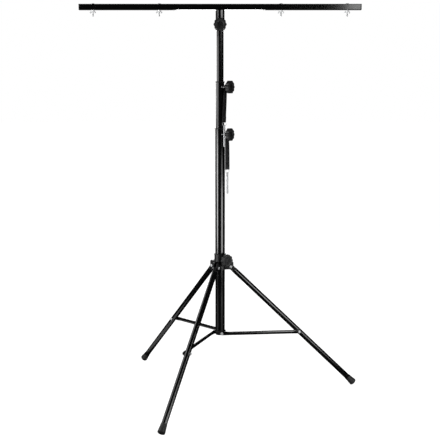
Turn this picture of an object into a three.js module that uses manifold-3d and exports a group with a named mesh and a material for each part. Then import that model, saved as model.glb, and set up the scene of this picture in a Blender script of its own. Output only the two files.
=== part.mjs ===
// A telescopic lighting stand with a T-bar, three folding legs and a sliding leg hub.
// Millimetres, +Z up. Azimuths are counted from the viewer's side (-Y) towards +X.

import * as THREE from 'three';
import { mergeVertices } from 'three/addons/utils/BufferGeometryUtils.js';
import Module from 'manifold-3d';

const wasm = await Module();
wasm.setup();

// Counts of facets
const TUBE_SIDES = 32;
const LEG_SIDES = 24;
const BOSS_SIDES = 20;
const BOLT_SIDES = 12;
const STRUT_SIDES = 12;
const WIRE_SIDES = 6;
const WIRE_STEPS = 24;
const HEXAGON = 6;
const KNOB_LOBE_STEPS = 4;
const CORNER_STEPS = 3;
const ROUND_END_STEPS = 8;

// Clearances that pieces keep to each other
const SEAT_GAP = 0.3;
const RUNNING_GAP = 0.4;
const CUT_OVERRUN = 2;
const WELD_SINK = 1.2;

// Mast: three tubes that slide in each other
const TUBE_WALL = 1.5;
const COLUMN_RADIUS = 21;
const TUBE_STEP = 3;
const MID_RADIUS = COLUMN_RADIUS - TUBE_STEP;
const TOP_RADIUS = MID_RADIUS - TUBE_STEP;
const COLUMN_LENGTH = 889;
const MID_LENGTH = 872;
const TOP_LENGTH = 905;
const MID_SHOWN = 199.5;
const TOP_SHOWN = 214;
const BUSH_FLANGE_HEIGHT = 4;
const BUSH_DEPTH = 40;
const BUSH_LIP = 2;
const BUSH_CHAMFER = 1;
const END_PLUG_DEPTH = 22;
const END_PLUG_RIM = 6;
const END_PLUG_BORE = 9;

// Clamps: a welded boss, a threaded stud and a lobed knob
const CLAMP_AZIMUTH = 60;
const CLAMP_DROP_MID = 24;
const CLAMP_DROP_COLUMN = 27;
const BOSS_RADIUS = 8;
const BOSS_HEIGHT = 5.5;
const HUB_BOSS_HEIGHT = 3.5;
const STUD_RADIUS = 4;
const KNOB_RADIUS = 28;
const KNOB_THICKNESS = 18;
const KNOB_LOBES = 10;
const KNOB_LOBE_DEPTH = 3;
const KNOB_LOBE_POWER = 1.5;
const KNOB_EDGE = 2.6;
const KNOB_DISH_RADIUS = 17;
const KNOB_DISH_DEPTH = 2.2;
const KNOB_COLLAR_RADIUS = 9;
const KNOB_COLLAR_HEIGHT = 1.2;
const KNOB_STANDOFF = 12.9;

// T-bar, its socket and the four accessory bolts
const BAR_LENGTH = 1200;
const BAR_SIDE = 25;
const BAR_WALL = 1.8;
const BAR_CORNER = 2.2;
const CAP_FLANGE = 4;
const CAP_DEPTH = 18;
const CAP_DRAFT = 0.5;
const BOLT_END_INSET = 59;
const BOLT_SPACING = 282;
const ACCESSORY_BOLT_RADIUS = 3;
const ACCESSORY_BOLT_REACH = 27;
const ACCESSORY_HEAD_RADIUS = 7.5;
const ACCESSORY_HEAD_HEIGHT = 3.3;
const BOLT_CHAMFER = 0.8;
const WING_HUB_RADIUS = 6;
const WING_HUB_HEIGHT = 7;
const WING_SPAN = 13.5;
const WING_DROP = 10.5;
const WING_THICKNESS = 2.6;
const WING_TIP_RADIUS = 3.6;
const WING_TIP_START = 45;
const WING_TIP_END = -108;
const SOCKET_RADIUS = 19;
const SOCKET_HEIGHT = 86;
const SOCKET_ROOF = 12;
const SOCKET_CLAMP_RISE = 23;
const SOCKET_CLAMP_AZIMUTH = 0;
const SOCKET_LIP = 1.2;
const SOCKET_LIP_HEIGHT = 3;

// Legs, struts and the two hubs
const LEG_COUNT = 3;
const LEG_FIRST_AZIMUTH = 98.1;
const LEG_SPREAD = 45.8;
const LEG_REACH = 794.2;
const LEG_RADIUS = 12;
const LEG_PIVOT_RADIUS = 46;
const STRUT_JOINT_REACH = 434;
const BASE_PIVOT_HEIGHT = 268;
const BASE_PIVOT_RADIUS = 4;
const LEG_HEAD_DROP = 26;
const TONGUE_WIDTH = 12;
const TONGUE_RADIUS = 11;
const HEAD_COLLAR = 5;
const HEAD_INSERT = 24;
const HUB_SLEEVE_RADIUS = 25;
const HUB_RISE = 58;
const HUB_DROP = 12.5;
const EAR_RISE = 24;
const EAR_THICKNESS = 4;
const EAR_RADIUS = 58;
const EAR_CORNER = 9;
const HUB_CLAMP_RISE = 32;
const HUB_BAND = 1.2;
const HUB_BAND_HEIGHT = 5;
const PIVOT_BOLT_RADIUS = 4;
const PIVOT_HEAD_RADIUS = 6.5;
const PIVOT_HEAD_HEIGHT = 3.4;
const BASE_BOSS_RADIUS = 8;
const BASE_BOSS_REACH = 23;
const BASE_FLOOR_DROP = 10;
const BASE_PLUG_DEPTH = 38;
const BASE_CHAMFER = 2;
const STRUT_BOLT_RADIUS = 3;
const BASE_BOLT_GRIP = 15.5;
const STRUT_HEIGHT = 16.4;
const STRUT_THICKNESS = 10;
const STRUT_EYE_HEIGHT = 18;
const STRUT_EYE_THICKNESS = 5;
const STRUT_EYE_LENGTH = 12;
const STRUT_FLARE = 18;
const STRUT_BASE_SWELL = 1.7;
const STRUT_LEG_SWELL = 2.7;
const STRUT_TUBE_POWER = 2.3;
const STRUT_EYE_POWER = 6;
const STRUT_TIP_SHARES = [[1, 0.3], [0.85, 0.55], [0.5, 0.87]];
const WASHER_HEIGHT = 0.8;
const WASHER_RADIUS = 6.2;

// Rubber feet
const FOOT_LENGTH = 40;
const FOOT_TOP_RADIUS = 13.4;
const FOOT_END_RADIUS = 16.3;
const FOOT_FLARE_SHARE = 0.7;
const FOOT_FLOOR = 6;
const FOOT_EDGE = 2.5;
const SOLE_CUT = 1;

// Straps, rings and locking pins
const STRAP_WIDTH = 20;
const STRAP_THICKNESS = 2.5;
const STRAP_TOP_RADIUS = 11;
const STRAP_END_THICKNESS = 5;
const STRAP_END_HEIGHT = 12;
const STRAP_END_INSET = 5.5;
const STRAP_EYE_DEPTH = 16;
const STRAP_BOW = 3;
const STRAP_TWIST_SHARE = 0.15;
const STRAP_CROWN_SHARES = [0.3, 0.7, 0.9, 1];
const STRAP_CROWN_FULL_SHARE = 1.09;
const RING_RADIUS = 9;
const RING_WIRE = 1;
const PIN_RADIUS = 4;
const PIN_LENGTH = 89;
const PIN_TIP = 4;
const PIN_TIP_RADIUS = 3;
const PIN_EYE_THICKNESS = 4;
const PIN_EYE_HOLE = 2;
const PIN_EYE_RISE = 4;
const PIN_NECK = 8;
const PASSING_GAP = 0.5;
const MID_STRAP_AZIMUTH = 34.1;
const MID_STRAP_DROP = 157.5;
const MID_STRAP_AWAY = 5.6;
const COLUMN_STRAP_DROP = 158;
const COLUMN_STRAP_ASIDE = 14.3;

// Finishes
function finish(color, roughness, metalness) {
  return { color, roughness, metalness };
}
const POWDER_BLACK = finish(0x141415, 0.42, 0.35);
const PLASTIC_BLACK = finish(0x1b1b1c, 0.6, 0);
const KNOB_PLASTIC = finish(0x242425, 0.55, 0);
const RUBBER_BLACK = finish(0x171717, 0.85, 0);
const ZINC = finish(0xb9bbbd, 0.35, 0.9);
const CHROME = finish(0xd5d7d9, 0.14, 1);
const WEBBING = finish(0x101011, 0.9, 0);

// Solids: closed meshes in, closed meshes out
function signedVolume(positions, index) {
  const a = new THREE.Vector3();
  const b = new THREE.Vector3();
  const c = new THREE.Vector3();
  let sum = 0;
  for (let i = 0; i < index.length; i += 3) {
    a.fromArray(positions, 3 * index[i]);
    b.fromArray(positions, 3 * index[i + 1]);
    c.fromArray(positions, 3 * index[i + 2]);
    sum += a.dot(b.cross(c));
  }
  return sum;
}

function solid(geometry) {
  const bare = new THREE.BufferGeometry();
  bare.setAttribute('position', geometry.getAttribute('position').clone());
  if (geometry.index) bare.setIndex(geometry.index.clone());
  const merged = mergeVertices(bare);
  const positions = Array.from(merged.getAttribute('position').array);
  const kept = [];
  const all = merged.index.array;
  for (let i = 0; i < all.length; i += 3) {
    const [a, b, c] = [all[i], all[i + 1], all[i + 2]];
    if (a !== b && b !== c && c !== a) kept.push(a, b, c);
  }
  if (signedVolume(positions, kept) < 0) kept.reverse();
  return new wasm.Manifold(new wasm.Mesh({
    numProp: 3,
    vertProperties: new Float32Array(positions),
    triVerts: new Uint32Array(kept),
  }));
}

function union(...solids) {
  return solids.reduce((sum, next) => sum.add(next));
}

function cut(body, ...tools) {
  return tools.reduce((rest, tool) => rest.subtract(tool), body);
}

function mesh(name, body, look) {
  const result = body.getMesh();
  const geometry = new THREE.BufferGeometry();
  geometry.setAttribute('position', new THREE.BufferAttribute(new Float32Array(result.vertProperties), 3));
  geometry.setIndex(new THREE.BufferAttribute(new Uint32Array(result.triVerts), 1));
  const flat = geometry.toNonIndexed();
  flat.computeVertexNormals();
  const item = new THREE.Mesh(flat, new THREE.MeshStandardMaterial(look));
  item.name = name;
  return item;
}

// Shapes of revolution about Z: profile points are [radius, height]
function turned(profile, sides = TUBE_SIDES) {
  const points = profile.map(([radius, height]) => new THREE.Vector2(radius, height));
  return solid(new THREE.LatheGeometry(points, sides).rotateX(Math.PI / 2));
}

function hollow(inner, outer, low, high, sides = TUBE_SIDES) {
  return turned([[inner, low], [outer, low], [outer, high], [inner, high], [inner, low]], sides);
}

function rod(radius, low, high, sides = BOLT_SIDES) {
  return turned([[0, low], [radius, low], [radius, high], [0, high]], sides);
}

// A rod that lies along +X or +Y of its frame
function rodAlongX(radius, from, to, sides = BOLT_SIDES) {
  return placed(rod(radius, from, to, sides), new THREE.Matrix4().makeRotationY(Math.PI / 2));
}

function rodAlongY(radius, from, to, sides = BOLT_SIDES) {
  return placed(rod(radius, from, to, sides), new THREE.Matrix4().makeRotationX(-Math.PI / 2));
}

function placed(body, matrix) {
  return body.transform(matrix.elements);
}

function moved(body, x, y, z) {
  return body.translate([x, y, z]);
}

function block(x, y, z) {
  return solid(new THREE.BoxGeometry(x, y, z));
}

// The frame at an azimuth: +X points outwards, +Z up
function outward(azimuth) {
  return new THREE.Matrix4().makeRotationZ(THREE.MathUtils.degToRad(azimuth - 90));
}

function facing(body, azimuth, height) {
  return moved(placed(body, outward(azimuth)), 0, 0, height);
}

// Flat outlines
function roundedRectangle(width, height, corner) {
  const [x, y] = [width / 2, height / 2];
  const shape = new THREE.Shape();
  shape.moveTo(corner - x, -y);
  shape.lineTo(x - corner, -y);
  shape.absarc(x - corner, corner - y, corner, -Math.PI / 2, 0);
  shape.lineTo(x, y - corner);
  shape.absarc(x - corner, y - corner, corner, 0, Math.PI / 2);
  shape.lineTo(corner - x, y);
  shape.absarc(corner - x, y - corner, corner, Math.PI / 2, Math.PI);
  shape.lineTo(-x, corner - y);
  shape.absarc(corner - x, corner - y, corner, Math.PI, 1.5 * Math.PI);
  return shape;
}

function extruded(shape, depth, curveSegments = CORNER_STEPS) {
  return solid(new THREE.ExtrudeGeometry(shape, { depth, bevelEnabled: false, curveSegments }));
}

// Reaches of the clamps and straps: the hub's boss is short, so that the column's pin passes its knob,
// and the column's strap hangs beyond the pin that comes down from the mid tube
const bossReach = COLUMN_RADIUS + BOSS_HEIGHT;
const knobBack = bossReach + KNOB_STANDOFF;
const hubBossReach = HUB_SLEEVE_RADIUS + HUB_BOSS_HEIGHT;
const pinBesideHub = hubBossReach + PASSING_GAP + PIN_RADIUS;
const hubKnobBack = pinBesideHub + PIN_RADIUS + PASSING_GAP + KNOB_COLLAR_HEIGHT;
const hubClampAzimuth = LEG_FIRST_AZIMUTH - 180 / LEG_COUNT;
const pinBesideColumn = COLUMN_RADIUS + BUSH_LIP + MID_STRAP_AWAY + PIN_RADIUS;
const pinTurn = THREE.MathUtils.degToRad(CLAMP_AZIMUTH - MID_STRAP_AZIMUTH);
const midStrapEye = bossReach + SEAT_GAP + STRAP_THICKNESS / 2;
const columnStrapEye = pinBesideColumn * Math.cos(pinTurn) + PIN_RADIUS + PASSING_GAP + STRAP_THICKNESS / 2;

// Heights of the mast, from the floor up
const leg = THREE.MathUtils.degToRad(LEG_SPREAD);
const footDrop = FOOT_END_RADIUS * Math.sin(leg) - SOLE_CUT;
const hubHeight = LEG_REACH * Math.cos(leg) + footDrop;
const baseShoulder = BASE_PIVOT_HEIGHT + BASE_BOSS_RADIUS + BASE_CHAMFER;
const columnBottom = baseShoulder + SEAT_GAP;
const columnTop = columnBottom + COLUMN_LENGTH;
const columnRim = columnTop + SEAT_GAP + BUSH_FLANGE_HEIGHT;
const midRim = columnRim + MID_SHOWN;
const midTop = midRim - BUSH_FLANGE_HEIGHT - SEAT_GAP;
const midBottom = midTop - MID_LENGTH;
const socketBottom = midRim + TOP_SHOWN;
const barBottom = socketBottom + SOCKET_HEIGHT + SEAT_GAP;
const topEnd = barBottom - SEAT_GAP - SOCKET_ROOF - SEAT_GAP;
const topBottom = topEnd - TOP_LENGTH;
const midClamp = midRim - CLAMP_DROP_MID;
const columnClamp = columnRim - CLAMP_DROP_COLUMN;
const socketClamp = socketBottom + SOCKET_CLAMP_RISE;

// A mast tube, with a welded clamp boss where one is wanted
function mastTube(radius, bottom, top, clampHeight = null) {
  const bore = radius - TUBE_WALL;
  const pipe = hollow(bore, radius, bottom, top);
  if (clampHeight === null) return pipe;
  const boss = clampBoss(radius / 2, bossReach, CLAMP_AZIMUTH, clampHeight);
  const inside = rod(bore, clampHeight - 2 * BOSS_RADIUS, clampHeight + 2 * BOSS_RADIUS, TUBE_SIDES);
  return cut(union(pipe, boss.body), inside, boss.hole);
}

function clampBoss(from, to, azimuth, height) {
  return {
    body: facing(rodAlongX(BOSS_RADIUS, from, to, BOSS_SIDES), azimuth, height),
    hole: facing(rodAlongX(STUD_RADIUS + SEAT_GAP, 0, to + CUT_OVERRUN), azimuth, height),
  };
}

// A plastic guide bush in the mouth of a tube: a thin sleeve under a rim
function guideBush(innerTube, outerTube, top) {
  const bore = innerTube + SEAT_GAP;
  const sleeve = outerTube - TUBE_WALL - SEAT_GAP;
  const rim = outerTube + BUSH_LIP;
  const shoulder = top - BUSH_FLANGE_HEIGHT;
  return turned([
    [bore, shoulder - BUSH_DEPTH],
    [sleeve, shoulder - BUSH_DEPTH],
    [sleeve, shoulder],
    [rim, shoulder],
    [rim, top - BUSH_CHAMFER],
    [rim - BUSH_CHAMFER, top],
    [bore, top],
    [bore, shoulder - BUSH_DEPTH],
  ]);
}

// A plug that closes the lower end of a sliding tube and runs in the tube around it
function endPlug(tube, bottom) {
  const guide = tube + TUBE_STEP - TUBE_WALL - RUNNING_GAP;
  const insert = tube - TUBE_WALL - SEAT_GAP;
  const low = bottom - SEAT_GAP - END_PLUG_RIM;
  return turned([
    [END_PLUG_BORE, low],
    [guide - BUSH_CHAMFER, low],
    [guide, low + BUSH_CHAMFER],
    [guide, bottom - SEAT_GAP],
    [insert, bottom - SEAT_GAP],
    [insert, bottom + END_PLUG_DEPTH],
    [END_PLUG_BORE, bottom + END_PLUG_DEPTH],
    [END_PLUG_BORE, low],
  ]);
}

// A lobed clamp knob on its stud, along +X: the stud's tip is at x = tip, the knob's back at x = back
function knobOutline(radius) {
  const points = [];
  const steps = KNOB_LOBE_STEPS * KNOB_LOBES;
  for (let i = 0; i < steps; i += 1) {
    const turn = (2 * Math.PI * i) / steps;
    const wave = 0.5 - 0.5 * Math.cos(KNOB_LOBES * turn);
    const reach = radius - KNOB_LOBE_DEPTH * wave ** KNOB_LOBE_POWER;
    points.push(new THREE.Vector2(reach * Math.cos(turn), reach * Math.sin(turn)));
  }
  return points;
}

function knob(tip, back) {
  const outline = knobOutline(KNOB_RADIUS - KNOB_EDGE);
  const grip = solid(new THREE.ExtrudeGeometry(new THREE.Shape(outline), {
    depth: KNOB_THICKNESS - 2 * KNOB_EDGE,
    bevelThickness: KNOB_EDGE,
    bevelSize: KNOB_EDGE,
    bevelSegments: 2,
  }));
  const seated = moved(grip, 0, 0, back + KNOB_EDGE);
  const face = back + KNOB_THICKNESS;
  const dish = turned([
    [0, face - KNOB_DISH_DEPTH],
    [KNOB_DISH_RADIUS - KNOB_DISH_DEPTH, face - KNOB_DISH_DEPTH],
    [KNOB_DISH_RADIUS + CUT_OVERRUN, face + CUT_OVERRUN],
    [0, face + CUT_OVERRUN],
  ]);
  const collar = rod(KNOB_COLLAR_RADIUS, back - KNOB_COLLAR_HEIGHT, back + KNOB_EDGE, TUBE_SIDES);
  const stud = rod(STUD_RADIUS, tip, back + KNOB_EDGE);
  const upright = cut(union(seated, collar, stud), dish);
  return placed(upright, new THREE.Matrix4().makeRotationY(Math.PI / 2));
}

function clampKnob(name, tip, back, azimuth, height) {
  const item = mesh(name, knob(tip, back), KNOB_PLASTIC);
  item.rotation.z = THREE.MathUtils.degToRad(azimuth - 90);
  item.position.z = height;
  return item;
}

// The mast
function makeMast() {
  const mast = new THREE.Group();
  const columnTip = COLUMN_RADIUS - TUBE_WALL;
  const midTip = MID_RADIUS - TUBE_WALL;
  mast.add(
    mesh('column_tube', mastTube(COLUMN_RADIUS, columnBottom, columnTop, columnClamp), POWDER_BLACK),
    mesh('column_guide_bush', guideBush(MID_RADIUS, COLUMN_RADIUS, columnRim), PLASTIC_BLACK),
    clampKnob('column_clamp_knob', columnTip, knobBack, CLAMP_AZIMUTH, columnClamp),
    mesh('mid_tube', mastTube(MID_RADIUS, midBottom, midTop, midClamp), POWDER_BLACK),
    mesh('mid_tube_end_plug', endPlug(MID_RADIUS, midBottom), PLASTIC_BLACK),
    mesh('mid_guide_bush', guideBush(TOP_RADIUS, MID_RADIUS, midRim), PLASTIC_BLACK),
    clampKnob('mid_clamp_knob', midTip, knobBack, CLAMP_AZIMUTH, midClamp),
    mesh('top_tube', mastTube(TOP_RADIUS, topBottom, topEnd), POWDER_BLACK),
    mesh('top_tube_end_plug', endPlug(TOP_RADIUS, topBottom), PLASTIC_BLACK),
  );
  return mast;
}

// The T-bar, its end caps and its socket
function makeBarTube() {
  const outline = roundedRectangle(BAR_SIDE, BAR_SIDE, BAR_CORNER);
  const bore = BAR_SIDE - 2 * BAR_WALL;
  outline.holes.push(roundedRectangle(bore, bore, BAR_CORNER / 2));
  const length = BAR_LENGTH - 2 * CAP_FLANGE - 2 * SEAT_GAP;
  const pipe = placed(
    moved(extruded(outline, length), 0, 0, -length / 2),
    new THREE.Matrix4().makeRotationY(Math.PI / 2),
  );
  const holes = boltPlaces().map((x) => moved(
    rod(ACCESSORY_BOLT_RADIUS + SEAT_GAP, -BAR_SIDE, BAR_SIDE),
    x, 0, 0,
  ));
  return cut(pipe, ...holes);
}

function boltPlaces() {
  const outer = BAR_LENGTH / 2 - BOLT_END_INSET;
  const inner = outer - BOLT_SPACING;
  return [-outer, -inner, inner, outer];
}

function makeEndCap() {
  const flange = extruded(roundedRectangle(BAR_SIDE, BAR_SIDE, BAR_CORNER), CAP_FLANGE);
  const side = BAR_SIDE - 2 * BAR_WALL - 2 * SEAT_GAP;
  const insert = extruded(roundedRectangle(side, side, BAR_CORNER / 2), CAP_DEPTH);
  const core = side - 4 * CAP_DRAFT - 2 * BAR_WALL;
  const pocket = extruded(roundedRectangle(core, core, BAR_CORNER / 2), CAP_DEPTH);
  const plug = union(flange, moved(insert, 0, 0, -CAP_DEPTH + WELD_SINK));
  const body = cut(plug, moved(pocket, 0, 0, -CAP_DEPTH - WELD_SINK));
  return placed(body, new THREE.Matrix4().makeRotationY(Math.PI / 2));
}

function makeSocket() {
  const bore = TOP_RADIUS + RUNNING_GAP;
  const roof = SOCKET_HEIGHT - SOCKET_ROOF;
  const lip = SOCKET_RADIUS + SOCKET_LIP;
  const shell = turned([
    [0, roof],
    [bore, roof],
    [bore, 0],
    [lip, 0],
    [lip, SOCKET_LIP_HEIGHT],
    [SOCKET_RADIUS, SOCKET_LIP_HEIGHT + SOCKET_LIP],
    [SOCKET_RADIUS, SOCKET_HEIGHT],
    [0, SOCKET_HEIGHT],
  ]);
  const boss = clampBoss(SOCKET_RADIUS / 2, bossReach, SOCKET_CLAMP_AZIMUTH, SOCKET_CLAMP_RISE);
  const inside = rod(bore, -CUT_OVERRUN, roof, TUBE_SIDES);
  return cut(union(shell, boss.body), inside, boss.hole);
}

function makeAccessoryBolt() {
  const top = ACCESSORY_HEAD_HEIGHT;
  const end = -BAR_SIDE - ACCESSORY_BOLT_REACH;
  return turned([
    [0, end],
    [ACCESSORY_BOLT_RADIUS - BOLT_CHAMFER, end],
    [ACCESSORY_BOLT_RADIUS, end + BOLT_CHAMFER],
    [ACCESSORY_BOLT_RADIUS, SEAT_GAP],
    [ACCESSORY_HEAD_RADIUS, SEAT_GAP],
    [ACCESSORY_HEAD_RADIUS, top - BOLT_CHAMFER],
    [ACCESSORY_HEAD_RADIUS - BOLT_CHAMFER, top],
    [0, top],
  ], BOLT_SIDES);
}

// A wing nut under z = 0: a round hub with two wings that lean outwards and down
function makeWingNut() {
  const hub = turned([
    [0, -WING_HUB_HEIGHT],
    [WING_HUB_RADIUS - 2 * BOLT_CHAMFER, -WING_HUB_HEIGHT],
    [WING_HUB_RADIUS, -SEAT_GAP],
    [0, -SEAT_GAP],
  ], BOLT_SIDES);
  const wing = new THREE.Shape();
  const root = (ACCESSORY_BOLT_RADIUS + WING_HUB_RADIUS) / 2;
  wing.moveTo(root, -BOLT_CHAMFER - SEAT_GAP);
  wing.lineTo(WING_HUB_RADIUS, -BOLT_CHAMFER - SEAT_GAP);
  const [start, end] = [WING_TIP_START, WING_TIP_END].map(THREE.MathUtils.degToRad);
  wing.absarc(WING_SPAN - WING_TIP_RADIUS, -WING_DROP, WING_TIP_RADIUS, start, end, true);
  wing.lineTo(root, -WING_HUB_HEIGHT);
  const plate = placed(
    moved(extruded(wing, WING_THICKNESS, ROUND_END_STEPS / 2), 0, 0, -WING_THICKNESS / 2),
    new THREE.Matrix4().makeRotationX(Math.PI / 2),
  );
  const other = placed(plate, new THREE.Matrix4().makeRotationZ(Math.PI));
  const bore = rod(ACCESSORY_BOLT_RADIUS + SEAT_GAP, -2 * WING_SPAN, WING_SPAN);
  return cut(union(hub, plate, other), bore);
}

function makeTBar() {
  const bar = new THREE.Group();
  bar.add(mesh('t_bar_tube', moved(makeBarTube(), 0, 0, barBottom + BAR_SIDE / 2), POWDER_BLACK));
  for (const [name, turn] of [['left', Math.PI], ['right', 0]]) {
    const cap = mesh(`t_bar_cap_${name}`, makeEndCap(), PLASTIC_BLACK);
    cap.rotation.z = turn;
    cap.position.set(Math.cos(turn) * (BAR_LENGTH / 2 - CAP_FLANGE), 0, barBottom + BAR_SIDE / 2);
    bar.add(cap);
  }
  bar.add(mesh('t_bar_socket', moved(makeSocket(), 0, 0, socketBottom), POWDER_BLACK));
  const tip = TOP_RADIUS + RUNNING_GAP;
  bar.add(clampKnob('socket_clamp_knob', tip, knobBack, SOCKET_CLAMP_AZIMUTH, socketClamp));
  boltPlaces().forEach((x, i) => {
    const bolt = mesh(`accessory_bolt_${i + 1}`, makeAccessoryBolt(), ZINC);
    bolt.position.set(x, 0, barBottom + BAR_SIDE);
    const nut = mesh(`wing_nut_${i + 1}`, makeWingNut(), ZINC);
    nut.position.set(x, 0, barBottom);
    bar.add(bolt, nut);
  });
  return bar;
}

// The sliding hub: a sleeve on the column with a pair of ears for each leg
function makeLegHub() {
  const bore = COLUMN_RADIUS + RUNNING_GAP;
  const band = HUB_SLEEVE_RADIUS + HUB_BAND;
  const sleeve = turned([
    [bore, -HUB_DROP],
    [HUB_SLEEVE_RADIUS, -HUB_DROP],
    [HUB_SLEEVE_RADIUS, HUB_RISE - HUB_BAND_HEIGHT],
    [band, HUB_RISE - HUB_BAND_HEIGHT + HUB_BAND],
    [band, HUB_RISE - HUB_BAND],
    [HUB_SLEEVE_RADIUS, HUB_RISE],
    [bore, HUB_RISE],
    [bore, -HUB_DROP],
  ]);
  const inner = bore + (HUB_SLEEVE_RADIUS - bore) / 2;
  const width = EAR_RADIUS - inner;
  const height = EAR_RISE + HUB_DROP;
  const plate = new THREE.Shape();
  plate.moveTo(0, 0);
  plate.lineTo(width - EAR_CORNER, 0);
  plate.absarc(width - EAR_CORNER, EAR_CORNER, EAR_CORNER, -Math.PI / 2, 0);
  plate.lineTo(width, height - EAR_CORNER);
  plate.absarc(width - EAR_CORNER, height - EAR_CORNER, EAR_CORNER, 0, Math.PI / 2);
  plate.lineTo(0, height);
  const inside = TONGUE_WIDTH / 2 + SEAT_GAP;
  const upright = new THREE.Matrix4().makeRotationX(Math.PI / 2);
  const ear = moved(placed(extruded(plate, EAR_THICKNESS), upright), inner, 0, -HUB_DROP);
  let hub = sleeve;
  const holes = [];
  for (let i = 0; i < LEG_COUNT; i += 1) {
    const side = outward(legAzimuth(i));
    hub = union(
      hub,
      placed(moved(ear, 0, inside + EAR_THICKNESS, 0), side),
      placed(moved(ear, 0, -inside, 0), side),
    );
    const hole = rodAlongY(PIVOT_BOLT_RADIUS + SEAT_GAP, -EAR_RADIUS / 2, EAR_RADIUS / 2);
    holes.push(placed(moved(hole, LEG_PIVOT_RADIUS, 0, 0), side));
  }
  const boss = clampBoss(COLUMN_RADIUS + WELD_SINK, hubBossReach, hubClampAzimuth, HUB_CLAMP_RISE);
  return cut(union(hub, boss.body), ...holes, boss.hole);
}

function legAzimuth(index) {
  return LEG_FIRST_AZIMUTH - (index * 360) / LEG_COUNT;
}

// The base hub closes the column's foot and carries the struts' inner pivots
function makeBaseHub() {
  const plug = COLUMN_RADIUS - TUBE_WALL - SEAT_GAP;
  const floor = BASE_PIVOT_HEIGHT - BASE_FLOOR_DROP;
  const body = turned([
    [0, floor],
    [COLUMN_RADIUS - BASE_CHAMFER, floor],
    [COLUMN_RADIUS, floor + BASE_CHAMFER],
    [COLUMN_RADIUS, baseShoulder],
    [plug, baseShoulder],
    [plug, baseShoulder + BASE_PLUG_DEPTH],
    [0, baseShoulder + BASE_PLUG_DEPTH],
  ]);
  const bosses = [];
  const holes = [];
  for (let i = 0; i < LEG_COUNT; i += 1) {
    const side = outward(legAzimuth(i));
    const boss = rodAlongY(BASE_BOSS_RADIUS, -BASE_BOSS_REACH, -BASE_BOSS_REACH / 2, BOSS_SIDES);
    const depth = BASE_BOLT_GRIP + SEAT_GAP;
    const hole = rodAlongY(
      STRUT_BOLT_RADIUS + SEAT_GAP, -BASE_BOSS_REACH - CUT_OVERRUN, -BASE_BOSS_REACH + depth,
    );
    bosses.push(placed(moved(boss, BASE_PIVOT_RADIUS, 0, BASE_PIVOT_HEIGHT), side));
    holes.push(placed(moved(hole, BASE_PIVOT_RADIUS, 0, BASE_PIVOT_HEIGHT), side));
  }
  return cut(union(body, ...bosses), ...holes);
}

// A cross bolt along Y: a shank between two heights, with a hexagon at either end or both
function crossBolt(radius, from, to, headed) {
  const sunk = PIVOT_HEAD_HEIGHT / 2;
  const low = headed.includes('from') ? from - sunk : from;
  const high = headed.includes('to') ? to + sunk : to;
  let bolt = rodAlongY(radius, low, high);
  for (const end of headed) {
    const start = end === 'from' ? from - PIVOT_HEAD_HEIGHT : to;
    bolt = union(bolt, rodAlongY(PIVOT_HEAD_RADIUS, start, start + PIVOT_HEAD_HEIGHT, HEXAGON));
  }
  return bolt;
}

// A ring of points round a flattened tube's section, at one place along the strut
function strutSection(x, aside, height, thickness, power) {
  const points = [];
  for (let i = 0; i < STRUT_SIDES; i += 1) {
    const turn = (2 * Math.PI * (i + 0.5)) / STRUT_SIDES;
    const [c, s] = [Math.cos(turn), Math.sin(turn)];
    const reach = (Math.abs(c) ** power + Math.abs(s) ** power) ** (-1 / power);
    points.push([x, aside + (thickness / 2) * c * reach, (height / 2) * s * reach]);
  }
  return points;
}

// A closed skin over a row of rings
function skinned(rings) {
  const count = rings[0].length;
  const positions = rings.flat(2);
  const index = [];
  for (let r = 0; r + 1 < rings.length; r += 1) {
    for (let i = 0; i < count; i += 1) {
      const j = (i + 1) % count;
      const [a, b, c, d] = [r * count + i, r * count + j, (r + 1) * count + i, (r + 1) * count + j];
      index.push(a, c, b, b, c, d);
    }
  }
  const last = (rings.length - 1) * count;
  for (let i = 1; i + 1 < count; i += 1) {
    index.push(0, i, i + 1, last, last + i + 1, last + i);
  }
  const geometry = new THREE.BufferGeometry();
  geometry.setAttribute('position', new THREE.Float32BufferAttribute(positions, 3));
  geometry.setIndex(index);
  return solid(geometry);
}

// Places of the strut's joint with the leg, in the leg's own upright plane
const joint = new THREE.Vector2(
  LEG_PIVOT_RADIUS + STRUT_JOINT_REACH * Math.sin(leg),
  hubHeight - STRUT_JOINT_REACH * Math.cos(leg),
);
const strutLength = Math.hypot(joint.x - BASE_PIVOT_RADIUS, joint.y - BASE_PIVOT_HEIGHT);
const strutRise = Math.atan2(joint.y - BASE_PIVOT_HEIGHT, joint.x - BASE_PIVOT_RADIUS);
const strutBaseFace = BASE_BOSS_REACH + SEAT_GAP;
const strutLegFace = LEG_RADIUS + SEAT_GAP + WASHER_HEIGHT + SEAT_GAP;

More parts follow.
